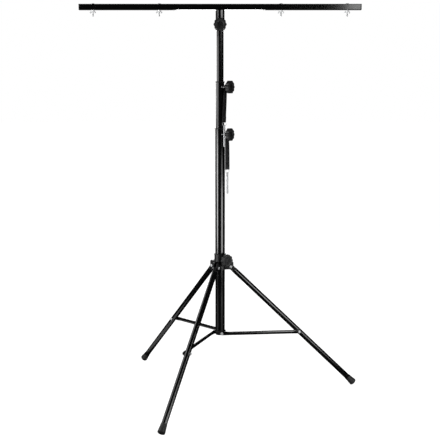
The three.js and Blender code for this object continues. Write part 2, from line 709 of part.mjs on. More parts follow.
// A strut: an oval tube with flattened eyes, from its base pivot at the origin along +X
function makeStrut() {
  const tip = STRUT_EYE_HEIGHT / 2;
  const eyes = [-strutBaseFace, -strutLegFace].map((face) => face - STRUT_EYE_THICKNESS / 2);
  const swells = [eyes[0] - STRUT_BASE_SWELL, eyes[1] - STRUT_LEG_SWELL];
  const eye = (x, aside, heightShare) => strutSection(
    x, aside, STRUT_EYE_HEIGHT * heightShare, STRUT_EYE_THICKNESS, STRUT_EYE_POWER,
  );
  const tube = (x, aside) => strutSection(x, aside, STRUT_HEIGHT, STRUT_THICKNESS, STRUT_TUBE_POWER);
  const rings = [
    ...STRUT_TIP_SHARES.map(([reachShare, heightShare]) => eye(-tip * reachShare, eyes[0], heightShare)),
    eye(0, eyes[0], 1),
    eye(STRUT_EYE_LENGTH, eyes[0], 1),
    tube(STRUT_EYE_LENGTH + STRUT_FLARE, swells[0]),
    tube(strutLength - STRUT_EYE_LENGTH - STRUT_FLARE, swells[1]),
    eye(strutLength - STRUT_EYE_LENGTH, eyes[1], 1),
    eye(strutLength, eyes[1], 1),
    ...STRUT_TIP_SHARES.toReversed().map(([reachShare, heightShare]) => eye(
      strutLength + tip * reachShare, eyes[1], heightShare,
    )),
  ];
  const hole = rodAlongY(STRUT_BOLT_RADIUS + SEAT_GAP, -2 * BASE_BOSS_REACH, 0);
  return cut(skinned(rings), hole, moved(hole, strutLength, 0, 0));
}

// The leg tube hangs from its pivot at the origin along -Z
function makeLegTube() {
  const bore = LEG_RADIUS - TUBE_WALL;
  const pipe = hollow(bore, LEG_RADIUS, FOOT_FLOOR + SEAT_GAP - LEG_REACH, -LEG_HEAD_DROP, LEG_SIDES);
  const hole = rodAlongY(STRUT_BOLT_RADIUS + SEAT_GAP, -2 * LEG_RADIUS, 2 * LEG_RADIUS);
  return cut(pipe, moved(hole, 0, 0, -STRUT_JOINT_REACH));
}

// The moulded head in the leg's top: a tongue, a collar and an insert
function makeLegHead() {
  const collar = LEG_HEAD_DROP - SEAT_GAP;
  const insert = LEG_RADIUS - TUBE_WALL - SEAT_GAP;
  const body = turned([
    [0, -collar - HEAD_INSERT],
    [insert - BASE_CHAMFER, -collar - HEAD_INSERT],
    [insert, -collar - HEAD_INSERT + BASE_CHAMFER],
    [insert, -collar],
    [LEG_RADIUS, -collar],
    [LEG_RADIUS, HEAD_COLLAR - collar - BASE_CHAMFER],
    [LEG_RADIUS - BASE_CHAMFER, HEAD_COLLAR - collar],
    [0, HEAD_COLLAR - collar],
  ], LEG_SIDES);
  const end = new THREE.Shape();
  end.moveTo(-TONGUE_RADIUS, -collar + WELD_SINK);
  end.lineTo(TONGUE_RADIUS, -collar + WELD_SINK);
  end.lineTo(TONGUE_RADIUS, 0);
  end.absarc(0, 0, TONGUE_RADIUS, 0, Math.PI);
  const tongue = placed(
    moved(extruded(end, TONGUE_WIDTH, ROUND_END_STEPS), 0, 0, -TONGUE_WIDTH / 2),
    new THREE.Matrix4().makeRotationX(Math.PI / 2),
  );
  return cut(union(body, tongue), rodAlongY(PIVOT_BOLT_RADIUS + SEAT_GAP, -LEG_RADIUS, LEG_RADIUS));
}

// The rubber foot grips the tube's end, flares out, and is worn flat where it meets the floor
function makeFoot() {
  const grip = LEG_RADIUS + SEAT_GAP;
  const low = -LEG_REACH;
  const body = turned([
    [0, low],
    [FOOT_END_RADIUS - FOOT_EDGE, low],
    [FOOT_END_RADIUS, low + FOOT_EDGE],
    [FOOT_TOP_RADIUS + SEAT_GAP, low + FOOT_LENGTH * FOOT_FLARE_SHARE],
    [FOOT_TOP_RADIUS, low + FOOT_LENGTH],
    [grip, low + FOOT_LENGTH],
    [grip, low + FOOT_FLOOR],
    [0, low + FOOT_FLOOR],
  ], LEG_SIDES);
  const floor = moved(block(LEG_REACH, LEG_REACH, LEG_REACH), 0, 0, -hubHeight - LEG_REACH / 2);
  return cut(body, placed(floor, new THREE.Matrix4().makeRotationY(leg)));
}

function makeLegSet() {
  const set = new THREE.Group();
  set.add(mesh('leg_hub', moved(makeLegHub(), 0, 0, hubHeight), POWDER_BLACK));
  const tip = COLUMN_RADIUS + SEAT_GAP;
  set.add(
    clampKnob('hub_clamp_knob', tip, hubKnobBack, hubClampAzimuth, hubHeight + HUB_CLAMP_RISE),
    mesh('base_hub', makeBaseHub(), POWDER_BLACK),
  );

  const earFace = TONGUE_WIDTH / 2 + SEAT_GAP + EAR_THICKNESS + SEAT_GAP;
  const strutOuter = strutLegFace + STRUT_EYE_THICKNESS + SEAT_GAP;
  const legBolt = union(
    crossBolt(STRUT_BOLT_RADIUS, SEAT_GAP - strutLegFace, LEG_RADIUS + SEAT_GAP, ['to']),
    rodAlongY(WASHER_RADIUS, SEAT_GAP - strutLegFace, SEAT_GAP + WASHER_HEIGHT - strutLegFace),
  );
  const strutNut = crossBolt(STRUT_BOLT_RADIUS, -strutOuter, -strutLegFace, ['from']);
  const baseOuter = strutBaseFace + STRUT_EYE_THICKNESS + SEAT_GAP;
  const baseBolt = crossBolt(STRUT_BOLT_RADIUS, -baseOuter, BASE_BOLT_GRIP - BASE_BOSS_REACH, ['from']);

  for (let i = 0; i < LEG_COUNT; i += 1) {
    const side = new THREE.Group();
    side.rotation.z = THREE.MathUtils.degToRad(legAzimuth(i) - 90);
    const number = i + 1;

    const hinge = mesh(
      `hub_pivot_bolt_${number}`,
      crossBolt(PIVOT_BOLT_RADIUS, -earFace, earFace, ['from', 'to']),
      ZINC,
    );
    hinge.position.set(LEG_PIVOT_RADIUS, 0, hubHeight);

    const limb = new THREE.Group();
    limb.position.copy(hinge.position);
    limb.rotation.y = -leg;
    const bolt = mesh(`leg_bolt_${number}`, legBolt, ZINC);
    bolt.position.z = -STRUT_JOINT_REACH;
    limb.add(
      mesh(`leg_tube_${number}`, makeLegTube(), POWDER_BLACK),
      mesh(`leg_head_${number}`, makeLegHead(), PLASTIC_BLACK),
      mesh(`rubber_foot_${number}`, makeFoot(), RUBBER_BLACK),
      bolt,
    );

    const brace = new THREE.Group();
    brace.position.set(BASE_PIVOT_RADIUS, 0, BASE_PIVOT_HEIGHT);
    brace.rotation.y = -strutRise;
    const nut = mesh(`strut_nut_${number}`, strutNut, ZINC);
    nut.position.x = strutLength;
    brace.add(mesh(`strut_${number}`, makeStrut(), POWDER_BLACK), nut);

    const lower = mesh(`base_pivot_bolt_${number}`, baseBolt, ZINC);
    lower.position.copy(brace.position);
    side.add(hinge, limb, brace, lower);
    set.add(side);
  }
  return set;
}

// A webbing strap from a clamp's stud down to a ring, and the locking pin that the ring holds
function makeLockingPin() {
  const neck = -PIN_EYE_RISE - PIN_NECK;
  const shank = turned([
    [0, -PIN_LENGTH],
    [PIN_TIP_RADIUS, -PIN_LENGTH],
    [PIN_RADIUS, PIN_TIP - PIN_LENGTH],
    [PIN_RADIUS, neck],
    [0, neck],
  ], BOLT_SIDES);
  const head = new THREE.Shape();
  head.moveTo(-PIN_RADIUS, neck - WELD_SINK);
  head.lineTo(PIN_RADIUS, neck - WELD_SINK);
  head.lineTo(PIN_RADIUS, 0);
  head.absarc(0, 0, PIN_RADIUS, 0, Math.PI);
  const crosswise = new THREE.Matrix4().makeRotationY(Math.PI / 2)
    .multiply(new THREE.Matrix4().makeRotationZ(Math.PI / 2));
  const plate = extruded(head, PIN_EYE_THICKNESS, ROUND_END_STEPS);
  const flat = placed(moved(plate, 0, 0, -PIN_EYE_THICKNESS / 2), crosswise);
  return cut(union(shank, flat), rodAlongX(PIN_EYE_HOLE, -PIN_RADIUS, PIN_RADIUS));
}

function ringSolid(wire) {
  const torus = new THREE.TorusGeometry(RING_RADIUS, wire, WIRE_SIDES, WIRE_STEPS);
  return solid(torus.rotateX(Math.PI / 2));
}

// The frame of a strap's lower end: +X along its width, -Y away from the mast's axis
function strapFrame(azimuth) {
  return outward(azimuth).multiply(new THREE.Matrix4().makeRotationZ(Math.PI / 2));
}

// One level of the webbing: four corners round a centre, turned about the vertical
function strapLevel(centre, z, turn, width, thickness) {
  const corners = [[-1, -1], [1, -1], [1, 1], [-1, 1]];
  return corners.map(([u, v]) => {
    const across = (u * width) / 2;
    const through = (v * thickness) / 2;
    return [
      centre.x + Math.cos(turn) * across - Math.sin(turn) * through,
      centre.y + Math.sin(turn) * across + Math.cos(turn) * through,
      z,
    ];
  });
}

// The webbing hangs from an eye on the stud, turns a little and folds round the ring
function makeStrap(stud, ring, turn) {
  const low = ring.z + STRAP_END_INSET;
  const folded = low + STRAP_END_HEIGHT;
  const level = (centre, z, angle, thickness = STRAP_THICKNESS, widthShare = 1) => strapLevel(
    centre, z, angle, STRAP_WIDTH * widthShare, thickness,
  );
  const belly = stud.clone().lerp(ring, 0.5);
  belly.y -= STRAP_BOW;
  const crown = STRAP_CROWN_SHARES.map((riseShare) => {
    const widthShare = Math.sqrt(STRAP_CROWN_FULL_SHARE - riseShare ** 2);
    return level(stud, stud.z + STRAP_TOP_RADIUS * riseShare, turn, STRAP_THICKNESS, widthShare);
  });
  return skinned([
    level(ring, low, 0, STRAP_END_THICKNESS),
    level(ring, folded, 0, STRAP_END_THICKNESS),
    level(ring, folded + STRAP_END_THICKNESS, 0),
    level(belly, belly.z, turn * STRAP_TWIST_SHARE),
    level(stud, stud.z - STRAP_EYE_DEPTH, turn),
    ...crown,
  ]);
}

function makeTether(name, azimuth, clampHeight, drop, eye, away, aside) {
  const tether = new THREE.Group();
  tether.applyMatrix4(strapFrame(azimuth));
  const turn = THREE.MathUtils.degToRad(CLAMP_AZIMUTH - azimuth);
  const stud = new THREE.Vector3(eye * Math.sin(turn), -eye * Math.cos(turn), clampHeight);
  const ring = new THREE.Vector3(aside, -away, clampHeight - drop);
  const studRod = placed(
    rodAlongX(STUD_RADIUS + RUNNING_GAP, 0, 2 * eye),
    new THREE.Matrix4().makeRotationZ(turn - Math.PI / 2),
  );
  const strap = cut(
    makeStrap(stud, ring, turn),
    moved(studRod, 0, 0, clampHeight),
    moved(ringSolid(RING_WIRE + SEAT_GAP), ring.x, ring.y, ring.z),
  );
  const loop = mesh(`${name}_pin_ring`, ringSolid(RING_WIRE), CHROME);
  loop.position.copy(ring);
  const pin = mesh(`${name}_locking_pin`, makeLockingPin(), CHROME);
  pin.position.set(ring.x, ring.y, ring.z - RING_RADIUS);
  tether.add(mesh(`${name}_strap`, strap, WEBBING), loop, pin);
  return tether;
}

// The whole stand, with its origin on the floor under the middle of its outline
const stand = new THREE.Group();
stand.add(
  makeMast(),
  makeTBar(),
  makeLegSet(),
  makeTether('mid', MID_STRAP_AZIMUTH, midClamp, MID_STRAP_DROP, midStrapEye, pinBesideColumn, 0),
  makeTether(
    'column', hubClampAzimuth, columnClamp, COLUMN_STRAP_DROP,
    columnStrapEye, pinBesideHub, COLUMN_STRAP_ASIDE,
  ),
);
stand.updateMatrixWorld(true);
const middle = new THREE.Box3().setFromObject(stand, true).getCenter(new THREE.Vector3());
stand.position.set(-middle.x, -middle.y, 0);

export default stand;
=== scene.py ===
"""Looks of a telescopic lighting stand with a T-bar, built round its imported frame.

Lengths are metres in the frame's own axes, but the profiles that a class holds are millimetres.
Azimuths are degrees, counted from the viewer's side (-Y) towards +X.
"""

import logging
import math
from dataclasses import asdict, dataclass, replace
from enum import Enum
from typing import Any, Sequence

import bmesh
import bpy
from mathutils import Matrix, Vector


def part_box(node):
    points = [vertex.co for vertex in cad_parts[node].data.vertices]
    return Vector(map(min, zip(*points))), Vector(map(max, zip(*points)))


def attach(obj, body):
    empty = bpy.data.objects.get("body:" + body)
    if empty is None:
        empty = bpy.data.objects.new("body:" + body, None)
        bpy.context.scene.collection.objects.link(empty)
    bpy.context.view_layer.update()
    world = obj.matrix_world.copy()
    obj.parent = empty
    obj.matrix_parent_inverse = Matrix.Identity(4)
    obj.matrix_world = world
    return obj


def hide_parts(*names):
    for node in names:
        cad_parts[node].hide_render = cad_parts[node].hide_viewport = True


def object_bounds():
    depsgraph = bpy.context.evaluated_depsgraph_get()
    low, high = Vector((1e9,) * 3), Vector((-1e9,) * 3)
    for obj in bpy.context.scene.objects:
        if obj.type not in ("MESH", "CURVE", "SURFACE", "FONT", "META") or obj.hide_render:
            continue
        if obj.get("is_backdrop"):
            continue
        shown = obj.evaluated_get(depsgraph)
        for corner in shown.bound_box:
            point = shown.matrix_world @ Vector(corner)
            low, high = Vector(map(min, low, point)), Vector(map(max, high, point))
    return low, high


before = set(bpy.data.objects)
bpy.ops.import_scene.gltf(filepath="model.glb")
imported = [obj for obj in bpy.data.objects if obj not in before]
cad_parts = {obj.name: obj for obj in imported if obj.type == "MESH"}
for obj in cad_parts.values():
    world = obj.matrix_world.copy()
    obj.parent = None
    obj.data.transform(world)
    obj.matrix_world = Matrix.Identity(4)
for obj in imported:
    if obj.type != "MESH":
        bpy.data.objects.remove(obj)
CAD_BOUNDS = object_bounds()

LOG = logging.getLogger("stand")
MM = 0.001
UP = Vector((0, 0, 1))
SHARP_EDGE = 40.0  # degrees; sharper edges of a CAD solid are rounded
FLAT_EDGE = 0.6  # degrees; flatter edges of a CAD solid are dissolved
SHADED_EDGE = 35.0  # degrees; sharper edges of a built mesh are shaded sharp
CLOTH_EDGE = 50.0  # degrees; the same for the strap and its stitches
ASKEW = Vector((0.31, 0.27, 0.91))  # a direction that no wire here runs along
SAME_POINT = 0.1 * MM * MM  # corners nearer than this are one
FINE_DETAIL = 2.0  # the detail of a noise that is fine already
NOISE_MIDDLE = 0.5  # a noise's mean
COLOUR_A, COLOUR_B, COLOUR_OUT = 6, 7, 2  # the Mix node's colour sockets

Point = tuple[float, float, float]
Profile = Sequence[tuple[float, float]]
Mesh = bpy.types.Mesh
Shape = bmesh.types.BMesh


# Nodes


class Value:
    """A number socket that can be used in sums written as Python expressions."""

    def __init__(self, tree: "NodeTree", socket: bpy.types.NodeSocket) -> None:
        """Wraps an output that carries a number, of the tree it belongs to."""
        self.tree = tree
        self.socket = socket

    def _sum(self, operation: str, first: Any, second: Any = 0.0) -> "Value":
        """The result of a Math node on one or two numbers or Values."""
        return self.tree.value("ShaderNodeMath", {"operation": operation}, {0: first, 1: second})

    def __add__(self, other: Any) -> "Value":
        """self + other."""
        return self._sum("ADD", self, other)

    __radd__ = __add__

    def __mul__(self, other: Any) -> "Value":
        """self * other."""
        return self._sum("MULTIPLY", self, other)

    __rmul__ = __mul__

    def __sub__(self, other: Any) -> "Value":
        """self - other."""
        return self._sum("SUBTRACT", self, other)

    def __rsub__(self, other: Any) -> "Value":
        """other - self."""
        return self._sum("SUBTRACT", other, self)

    def __gt__(self, other: Any) -> "Value":
        """1 where self is larger than other."""
        return self._sum("GREATER_THAN", self, other)

    def larger(self, other: Any) -> "Value":
        """The larger of the two."""
        return self._sum("MAXIMUM", self, other)

    def wave(self) -> "Value":
        """The size of self's sine, 0 to 1."""
        return self._sum("ABSOLUTE", self._sum("SINE", self))


class NodeTree:
    """A node tree, with one method that adds any node."""

    def __init__(self, tree: bpy.types.NodeTree) -> None:
        """Empties a shader or geometry tree for use."""
        self.tree = tree
        self.tree.nodes.clear()

    def node(self, kind: str, settings: dict | None = None, inputs: dict | None = None) -> bpy.types.Node:
        """Adds a node, sets it up and connects it.

        Args:
            kind: The node's type.
            settings: Attributes of the node, which are set first.
            inputs: Socket name or number to a value, a Value, a node or an output socket.

        Returns:
            The node.
        """
        made = self.tree.nodes.new(kind)
        for name, value in (settings or {}).items():
            setattr(made, name, value)
        for name, value in (inputs or {}).items():
            self.join(made.inputs[name], value)
        return made

    def join(self, socket: bpy.types.NodeSocket, value: Any) -> None:
        """Sets or links one socket.

        Args:
            socket: The input.
            value: A value, a Value, a node, whose first output is used, or an output socket.
        """
        if isinstance(value, Value):
            value = value.socket
        elif isinstance(value, bpy.types.Node):
            value = value.outputs[0]
        if isinstance(value, bpy.types.NodeSocket):
            self.tree.links.new(value, socket)
        else:
            socket.default_value = value

    def value(self, *node: Any) -> Value:
        """Adds a node, as node() does, and gives its first output as a Value."""
        return Value(self, self.node(*node).outputs[0])


def shader_tree(owner: bpy.types.Material | bpy.types.World) -> NodeTree:
    """The emptied tree of a material or a world."""
    owner.use_nodes = True
    return NodeTree(owner.node_tree)


def grey(level: float) -> tuple[float, float, float, float]:
    """A neutral colour, from 0 for black to 1 for white."""
    return (level, level, level, 1)


# Finishes


class Coordinates(Enum):
    """What a finish's pattern is laid out on."""

    OBJECT = "Object"
    UV = "UV"


class Surface(NodeTree):
    """The tree of a material, with its pattern's coordinates and its surface shader."""

    def __init__(self, material: bpy.types.Material, laid_on: Coordinates) -> None:
        """Starts the tree.

        Args:
            material: The material.
            laid_on: What its pattern is laid out on.
        """
        material.use_nodes = True
        super().__init__(material.node_tree)
        self.place = self.node("ShaderNodeTexCoord").outputs[laid_on.value]
        self.shader = self.node("ShaderNodeBsdfPrincipled")

    def noise(self, scale: float, detail: float = 3.0, place: Any = None) -> Value:
        """A soft random pattern of about 0.3 to 0.7, with this many blobs in a metre."""
        spread = {"Vector": place or self.place, "Scale": scale, "Detail": detail}
        return self.value("ShaderNodeTexNoise", None, spread)


@dataclass(frozen=True)
class Finish:
    """A finish with a little variation in its colour, gloss and surface."""

    name: str
    slot: str
    colour: Point
    roughness: float
    metallic: float = 0.0
    specular: float = 0.5
    grain_scale: float = 700.0
    grain_strength: float = 0.1
    grain_depth: float = 0.2 * MM
    cloud_scale: float = 9.0
    cloud_roughness: float = 0.06
    tint: float = 0.25
    streaks: float = 0.0
    streak_scale: Point = (900.0, 900.0, 6.0)
    streak_level: float = 0.62
    laid_on: Coordinates = Coordinates.OBJECT

    def material(self) -> bpy.types.Material:
        """The finish's material, made once and then shared.

        Returns:
            The material.
        """
        known = bpy.data.materials.get(self.name)
        if known:
            return known
        material = bpy.data.materials.new(self.name)
        material.diffuse_color = (*self.colour, 1)
        surface = Surface(material, self.laid_on)
        surface.shader.inputs["Metallic"].default_value = self.metallic
        surface.shader.inputs["Specular IOR Level"].default_value = self.specular
        self.dress(surface)
        surface.node("ShaderNodeOutputMaterial", None, {"Surface": surface.shader})
        return material

    def dress(self, surface: Surface) -> None:
        """Connects the finish's pattern.

        Args:
            surface: The surface to dress.
        """
        cloud = surface.noise(self.cloud_scale)
        rough = (cloud - NOISE_MIDDLE) * (2 * self.cloud_roughness) + self.roughness
        if self.streaks:
            stretch = {"Vector": surface.place, "Scale": self.streak_scale}
            drawn = surface.noise(1.0, FINE_DETAIL, surface.node("ShaderNodeMapping", None, stretch))
            rough = rough + (drawn > self.streak_level) * self.streaks
        self.connect(surface, rough, cloud, surface.noise(self.grain_scale, FINE_DETAIL))

    def connect(self, surface: Surface, rough: Value, tint: Value, height: Value) -> None:
        """Gives a surface its roughness, colour and relief.

        Args:
            surface: The surface to dress.
            rough: Its roughness.
            tint: 0 for the darker colour and 1 for the lighter one.
            height: The pattern that raises it.
        """
        dark, light = ((*(c * (1 + way * self.tint) for c in self.colour), 1) for way in (-1, 1))
        colours = {"Factor": tint, COLOUR_A: dark, COLOUR_B: light}
        colour = surface.node("ShaderNodeMix", {"data_type": "RGBA"}, colours).outputs[COLOUR_OUT]
        relief = {"Strength": self.grain_strength, "Distance": self.grain_depth, "Height": height}
        bump = surface.node("ShaderNodeBump", None, relief)
        for socket, value in (("Roughness", rough), ("Base Color", colour), ("Normal", bump)):
            surface.join(surface.shader.inputs[socket], value)


@dataclass(frozen=True)
class Webbing(Finish):
    """Woven strap: ribs of warp across the width, with weft between them."""

    grain_strength: float = 0.15
    grain_depth: float = 0.4 * MM
    laid_on: Coordinates = Coordinates.UV
    ribs: float = 16.0
    picks_per_metre: float = 640.0
    pick_shift: float = 1.5
    rib_height: float = 0.6
    pick_height: float = 0.4
    worn_gloss: float = 0.1
    sheen: float = 0.01

    def dress(self, surface: Surface) -> None:
        """Connects a weave: u runs across the strap from 0 to 1, v along it in metres.

        Args:
            surface: The surface to dress.
        """
        apart = surface.node("ShaderNodeSeparateXYZ", None, {"Vector": surface.place})
        across, along = (Value(surface, apart.outputs[axis]) for axis in "XY")
        rib = (across * (math.pi * self.ribs)).wave()
        pick = (along * (math.pi * self.picks_per_metre) + rib * self.pick_shift).wave()
        height = rib * self.rib_height + pick * self.pick_height
        surface.shader.inputs["Sheen Weight"].default_value = self.sheen
        self.connect(surface, height * -self.worn_gloss + self.roughness, height, height)


@dataclass(frozen=True)
class GripPlastic(Finish):
    """Moulded grip: a pebbled surface that is a little paler where it is raised."""

    cloud_share: float = 0.6
    pebble_share: float = 0.4

    def dress(self, surface: Surface) -> None:
        """Connects a pebbled grain.

        Args:
            surface: The surface to dress.
        """
        cells = {"Vector": surface.place, "Scale": self.grain_scale}
        pebble = 1.0 - surface.value("ShaderNodeTexVoronoi", {"feature": "SMOOTH_F1"}, cells)
        cloud = surface.noise(self.cloud_scale)
        rough = (cloud - NOISE_MIDDLE) * self.cloud_roughness + self.roughness
        self.connect(surface, rough, cloud * self.cloud_share + pebble * self.pebble_share, pebble)


PAINT = Finish(
    "paint_black", "black_paint", (0.0012, 0.0012, 0.00125), 0.14, specular=0.28, grain_strength=0.03
)
SLIDING_PAINT = replace(PAINT, name="paint_black_sliding", roughness=0.15, streaks=0.05)
MOULDED = Finish(
    "plastic_black", "black_plastic", (0.003, 0.003, 0.0031), 0.42, specular=0.16,
    grain_scale=1500.0, grain_strength=0.15,
)
GRIP = GripPlastic(
    "plastic_grip", "knob_plastic", (0.007, 0.007, 0.0071), 0.5, specular=0.18,
    grain_scale=1100.0, grain_strength=0.35, grain_depth=0.25 * MM, cloud_scale=90.0, tint=0.35,
)
RUBBER = Finish(
    "rubber_black", "rubber", (0.007, 0.007, 0.007), 0.6, specular=0.25,
    grain_scale=900.0, grain_strength=0.3, cloud_scale=60.0, tint=0.35,
)
ZINC = Finish(
    "zinc_plate", "zinc_steel", (0.3, 0.304, 0.308), 0.42, metallic=0.5,
    grain_scale=1200.0, grain_strength=0.12, cloud_scale=160.0, tint=0.18,
)
BRIGHT_ZINC = replace(
    ZINC, name="zinc_bright", colour=(0.4, 0.404, 0.408), roughness=0.45, metallic=0.2, tint=0.1
)
CHROME = Finish(
    "chrome_plate", "chrome", (0.21, 0.214, 0.218), 0.42, metallic=0.4,
    grain_scale=400.0, grain_strength=0.02, cloud_scale=50.0, cloud_roughness=0.03, tint=0.06,
)
STRAP_WEAVE = Webbing("webbing_black", "webbing", (0.0025, 0.0025, 0.0027), 0.38, specular=0.05, tint=0.5)
STITCH = Finish(
    "thread_black", "webbing", (0.03, 0.03, 0.031), 0.7, specular=0.3,
    grain_scale=3000.0, grain_strength=0.4, cloud_scale=300.0,
)


# Places


def azimuth_vector(azimuth: float) -> Vector:
    """The level direction at an azimuth."""
    turn = math.radians(azimuth)
    return Vector((math.sin(turn), -math.cos(turn), 0))


def sideways_vector(azimuth: float) -> Vector:
    """The level direction to the right of an azimuth, seen from above."""
    turn = math.radians(azimuth)
    return Vector((math.cos(turn), math.sin(turn), 0))


def axes_to(origin: Vector, out: Vector, up: Vector = UP) -> Matrix:
    """A frame with Z along out and Y as near as can be to up.

    Args:
        origin: The frame's origin.
        out: Its Z direction.
        up: The direction that its Y leans to.

    Returns:
        The matrix from that frame to the world.
    """
    z = out.normalized()
    x = up.cross(z).normalized()
    matrix = Matrix((x, z.cross(x), z)).transposed().to_4x4()
    matrix.translation = origin
    return matrix


def centre_of(node: str) -> Vector:
    """The middle of a CAD node's box."""
    low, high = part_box(node)
    return (Vector(low) + Vector(high)) / 2


MAST = centre_of("column_guide_bush")


def on_mast(azimuth: float, reach: float, height: float) -> Vector:
    """The point at an azimuth, a distance from the mast's axis and a height above the floor."""
    return Vector((MAST.x, MAST.y, height)) + azimuth_vector(azimuth) * reach


def facing_out(azimuth: float, reach: float, height: float) -> Matrix:
    """The frame at such a point, with Z away from the mast."""
    return axes_to(on_mast(azimuth, reach, height), azimuth_vector(azimuth))


# Meshes


def linked(name: str, data: Any) -> bpy.types.Object:
    """Adds an object that shows a mesh, a light or a camera to the scene."""
    made = bpy.data.objects.new(name, data)
    bpy.context.scene.collection.objects.link(made)
    return made


def finished(name: str, mesh: Mesh, finish: Finish, body: str, replaces: Sequence[str] = ()) -> None:
    """Makes a mesh a piece of the stand.

    Args:
        name: The piece's name.
        mesh: Its mesh, in place.
        finish: Its finish.
        body: The CAD body that it moves with.
        replaces: The CAD nodes that it stands for.
    """
    mesh.name = name
    mesh.materials.clear()
    mesh.materials.append(finish.material())
    piece = linked(name, mesh)
    if replaces:
        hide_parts(*replaces)
    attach(piece, body)
    LOG.info("%s moves with %s", name, body)


def smooth_by_angle(mesh: Mesh, angle: float) -> None:
    """Shades a mesh smooth, apart from edges sharper than an angle in degrees."""
    mesh.polygons.foreach_set("use_smooth", [True] * len(mesh.polygons))
    mesh.set_sharp_from_angle(angle=math.radians(angle))


def evaluated(mesh: Mesh, kind: str, settings: dict, inputs: dict[str, float] | None = None) -> Mesh:
    """Runs one modifier over a mesh and keeps only the result.

    Args:
        mesh: The mesh to start from.
        kind: The modifier's type.
        settings: Its attributes.
        inputs: The identifier and value of each input of its node tree.

    Returns:
        A plain mesh.
    """
    carrier = linked("carrier", mesh)
    modifier = carrier.modifiers.new("step", kind)
    for name, value in settings.items():
        setattr(modifier, name, value)
    for identifier, number in (inputs or {}).items():
        modifier[identifier] = float(number)
    bpy.context.view_layer.update()
    graph = bpy.context.evaluated_depsgraph_get()
    result = bpy.data.meshes.new_from_object(carrier.evaluated_get(graph))
    bpy.data.objects.remove(carrier)
    return result


def turns(count: int) -> list[float]:
    """Equal steps round a circle, in radians."""
    return [2 * math.pi * i / count for i in range(count)]


def circle(radius: float, height: float, count: int) -> list[Vector]:
    """Points round a level circle."""
    return [Vector((radius * math.cos(t), radius * math.sin(t), height)) for t in turns(count)]


def millimetres(profile: Profile, start: float) -> list[tuple[float, float]]:
    """A profile's points in metres, with their heights counted from a start."""
    return [(radius * MM, start + height * MM) for radius, height in profile]


def bridge(shape: Shape, low: Sequence[Any], high: Sequence[Any]) -> None:
    """Joins two rings of corners with faces; a ring at a pole repeats one corner.

    Args:
        shape: The shape to add to.
        low: The first ring.
        high: The second ring, equally long.
    """
    count = len(low)
    for i in range(count):
        j = (i + 1) % count
        corners = list(dict.fromkeys((low[i], low[j], high[j], high[i])))
        if len(corners) > 2:
            shape.faces.new(corners)


def mesh_of(shape: Shape, name: str) -> Mesh:
    """Makes a mesh of a shape.

    Args:
        shape: The shape, which is used up.
        name: The mesh's name.

    Returns:
        The mesh.
    """
    mesh = bpy.data.meshes.new(name)
    shape.to_mesh(mesh)
    shape.free()
    return mesh


def closed_mesh(shape: Shape, place: Matrix, angle: float = SHADED_EDGE) -> Mesh:
    """Merges, orients and places a shape.

    Args:
        shape: The shape, which is used up.
        place: Its frame.
        angle: The sharpest edge that is shaded smooth, in degrees.

    Returns:
        The mesh.
    """
    bmesh.ops.remove_doubles(shape, verts=shape.verts, dist=SAME_POINT)
    bmesh.ops.transform(shape, matrix=place, verts=shape.verts)
    bmesh.ops.recalc_face_normals(shape, faces=shape.faces)
    mesh = mesh_of(shape, "shape")
    smooth_by_angle(mesh, angle)
    return mesh


def turned(profile: Profile, place: Matrix, sides: int = 48) -> Mesh:
    """A closed shape of revolution.

    Args:
        profile: Radius and height in metres, from the axis to the axis or round to the start.
        place: The frame whose Z is the axis.
        sides: Faces round the axis.

    Returns:
        The mesh, in place.
    """
    shape = bmesh.new()
    rings = []
    for radius, height in profile:
        if radius:
            rings.append([shape.verts.new(point) for point in circle(radius, height, sides)])
        else:
            rings.append([shape.verts.new((0, 0, height))] * sides)
    for low, high in zip(rings, rings[1:]):
        bridge(shape, low, high)
    return closed_mesh(shape, place)


def skin_over(shape: Shape, rings: Sequence[Sequence[Vector]]) -> list[list[Any]]:
    """Adds a skin over a row of rings, with both ends capped.

    Args:
        shape: The shape to add to.
        rings: Equal rings of points.

    Returns:
        The corners, ring by ring.
    """
    made = [[shape.verts.new(point) for point in ring] for ring in rings]
    for low, high in zip(made, made[1:]):
        bridge(shape, low, high)
    for end in (made[0], made[-1]):
        shape.faces.new(end)
    return made


def skinned(rings: Sequence[Sequence[Vector]], place: Matrix) -> Mesh:
    """A closed skin over a row of rings.

    Args:
        rings: Equal rings of points.
        place: Their frame.

    Returns:
        The mesh, in place.
    """
    shape = bmesh.new()
    skin_over(shape, rings)
    return closed_mesh(shape, place)


def joined(meshes: Sequence[Mesh]) -> Mesh:
    """Puts several meshes of one finish together.

    Args:
        meshes: The meshes, which are used up.

    Returns:
        The joint mesh.
    """
    shape = bmesh.new()
    for mesh in meshes:
        shape.from_mesh(mesh)
        bpy.data.meshes.remove(mesh)
    result = mesh_of(shape, "joined")
    smooth_by_angle(result, CLOTH_EDGE)
    return result


def refined(node: str, edge: float) -> Mesh:
    """A copy of a CAD solid with rounded edges and smooth round faces.

    Args:
        node: The CAD node.
        edge: The radius given to its edges.

    Returns:
        The mesh, in place.
    """
    shape = bmesh.new()
    shape.from_mesh(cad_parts[node].data)
    bmesh.ops.remove_doubles(shape, verts=shape.verts, dist=10 * SAME_POINT)
    flat = {"angle_limit": math.radians(FLAT_EDGE), "use_dissolve_boundaries": False}
    bmesh.ops.dissolve_limit(shape, verts=shape.verts, edges=shape.edges, **flat)
    rounding = {
        "width": edge, "segments": 2, "limit_method": "ANGLE", "angle_limit": math.radians(SHARP_EDGE),
        "use_clamp_overlap": True, "miter_outer": "MITER_ARC",
    }
    result = evaluated(mesh_of(shape, "copy"), "BEVEL", rounding)
    smooth_by_angle(result, SHARP_EDGE)
    return evaluated(result, "WEIGHTED_NORMAL", {"weight": 100, "keep_sharp": True})


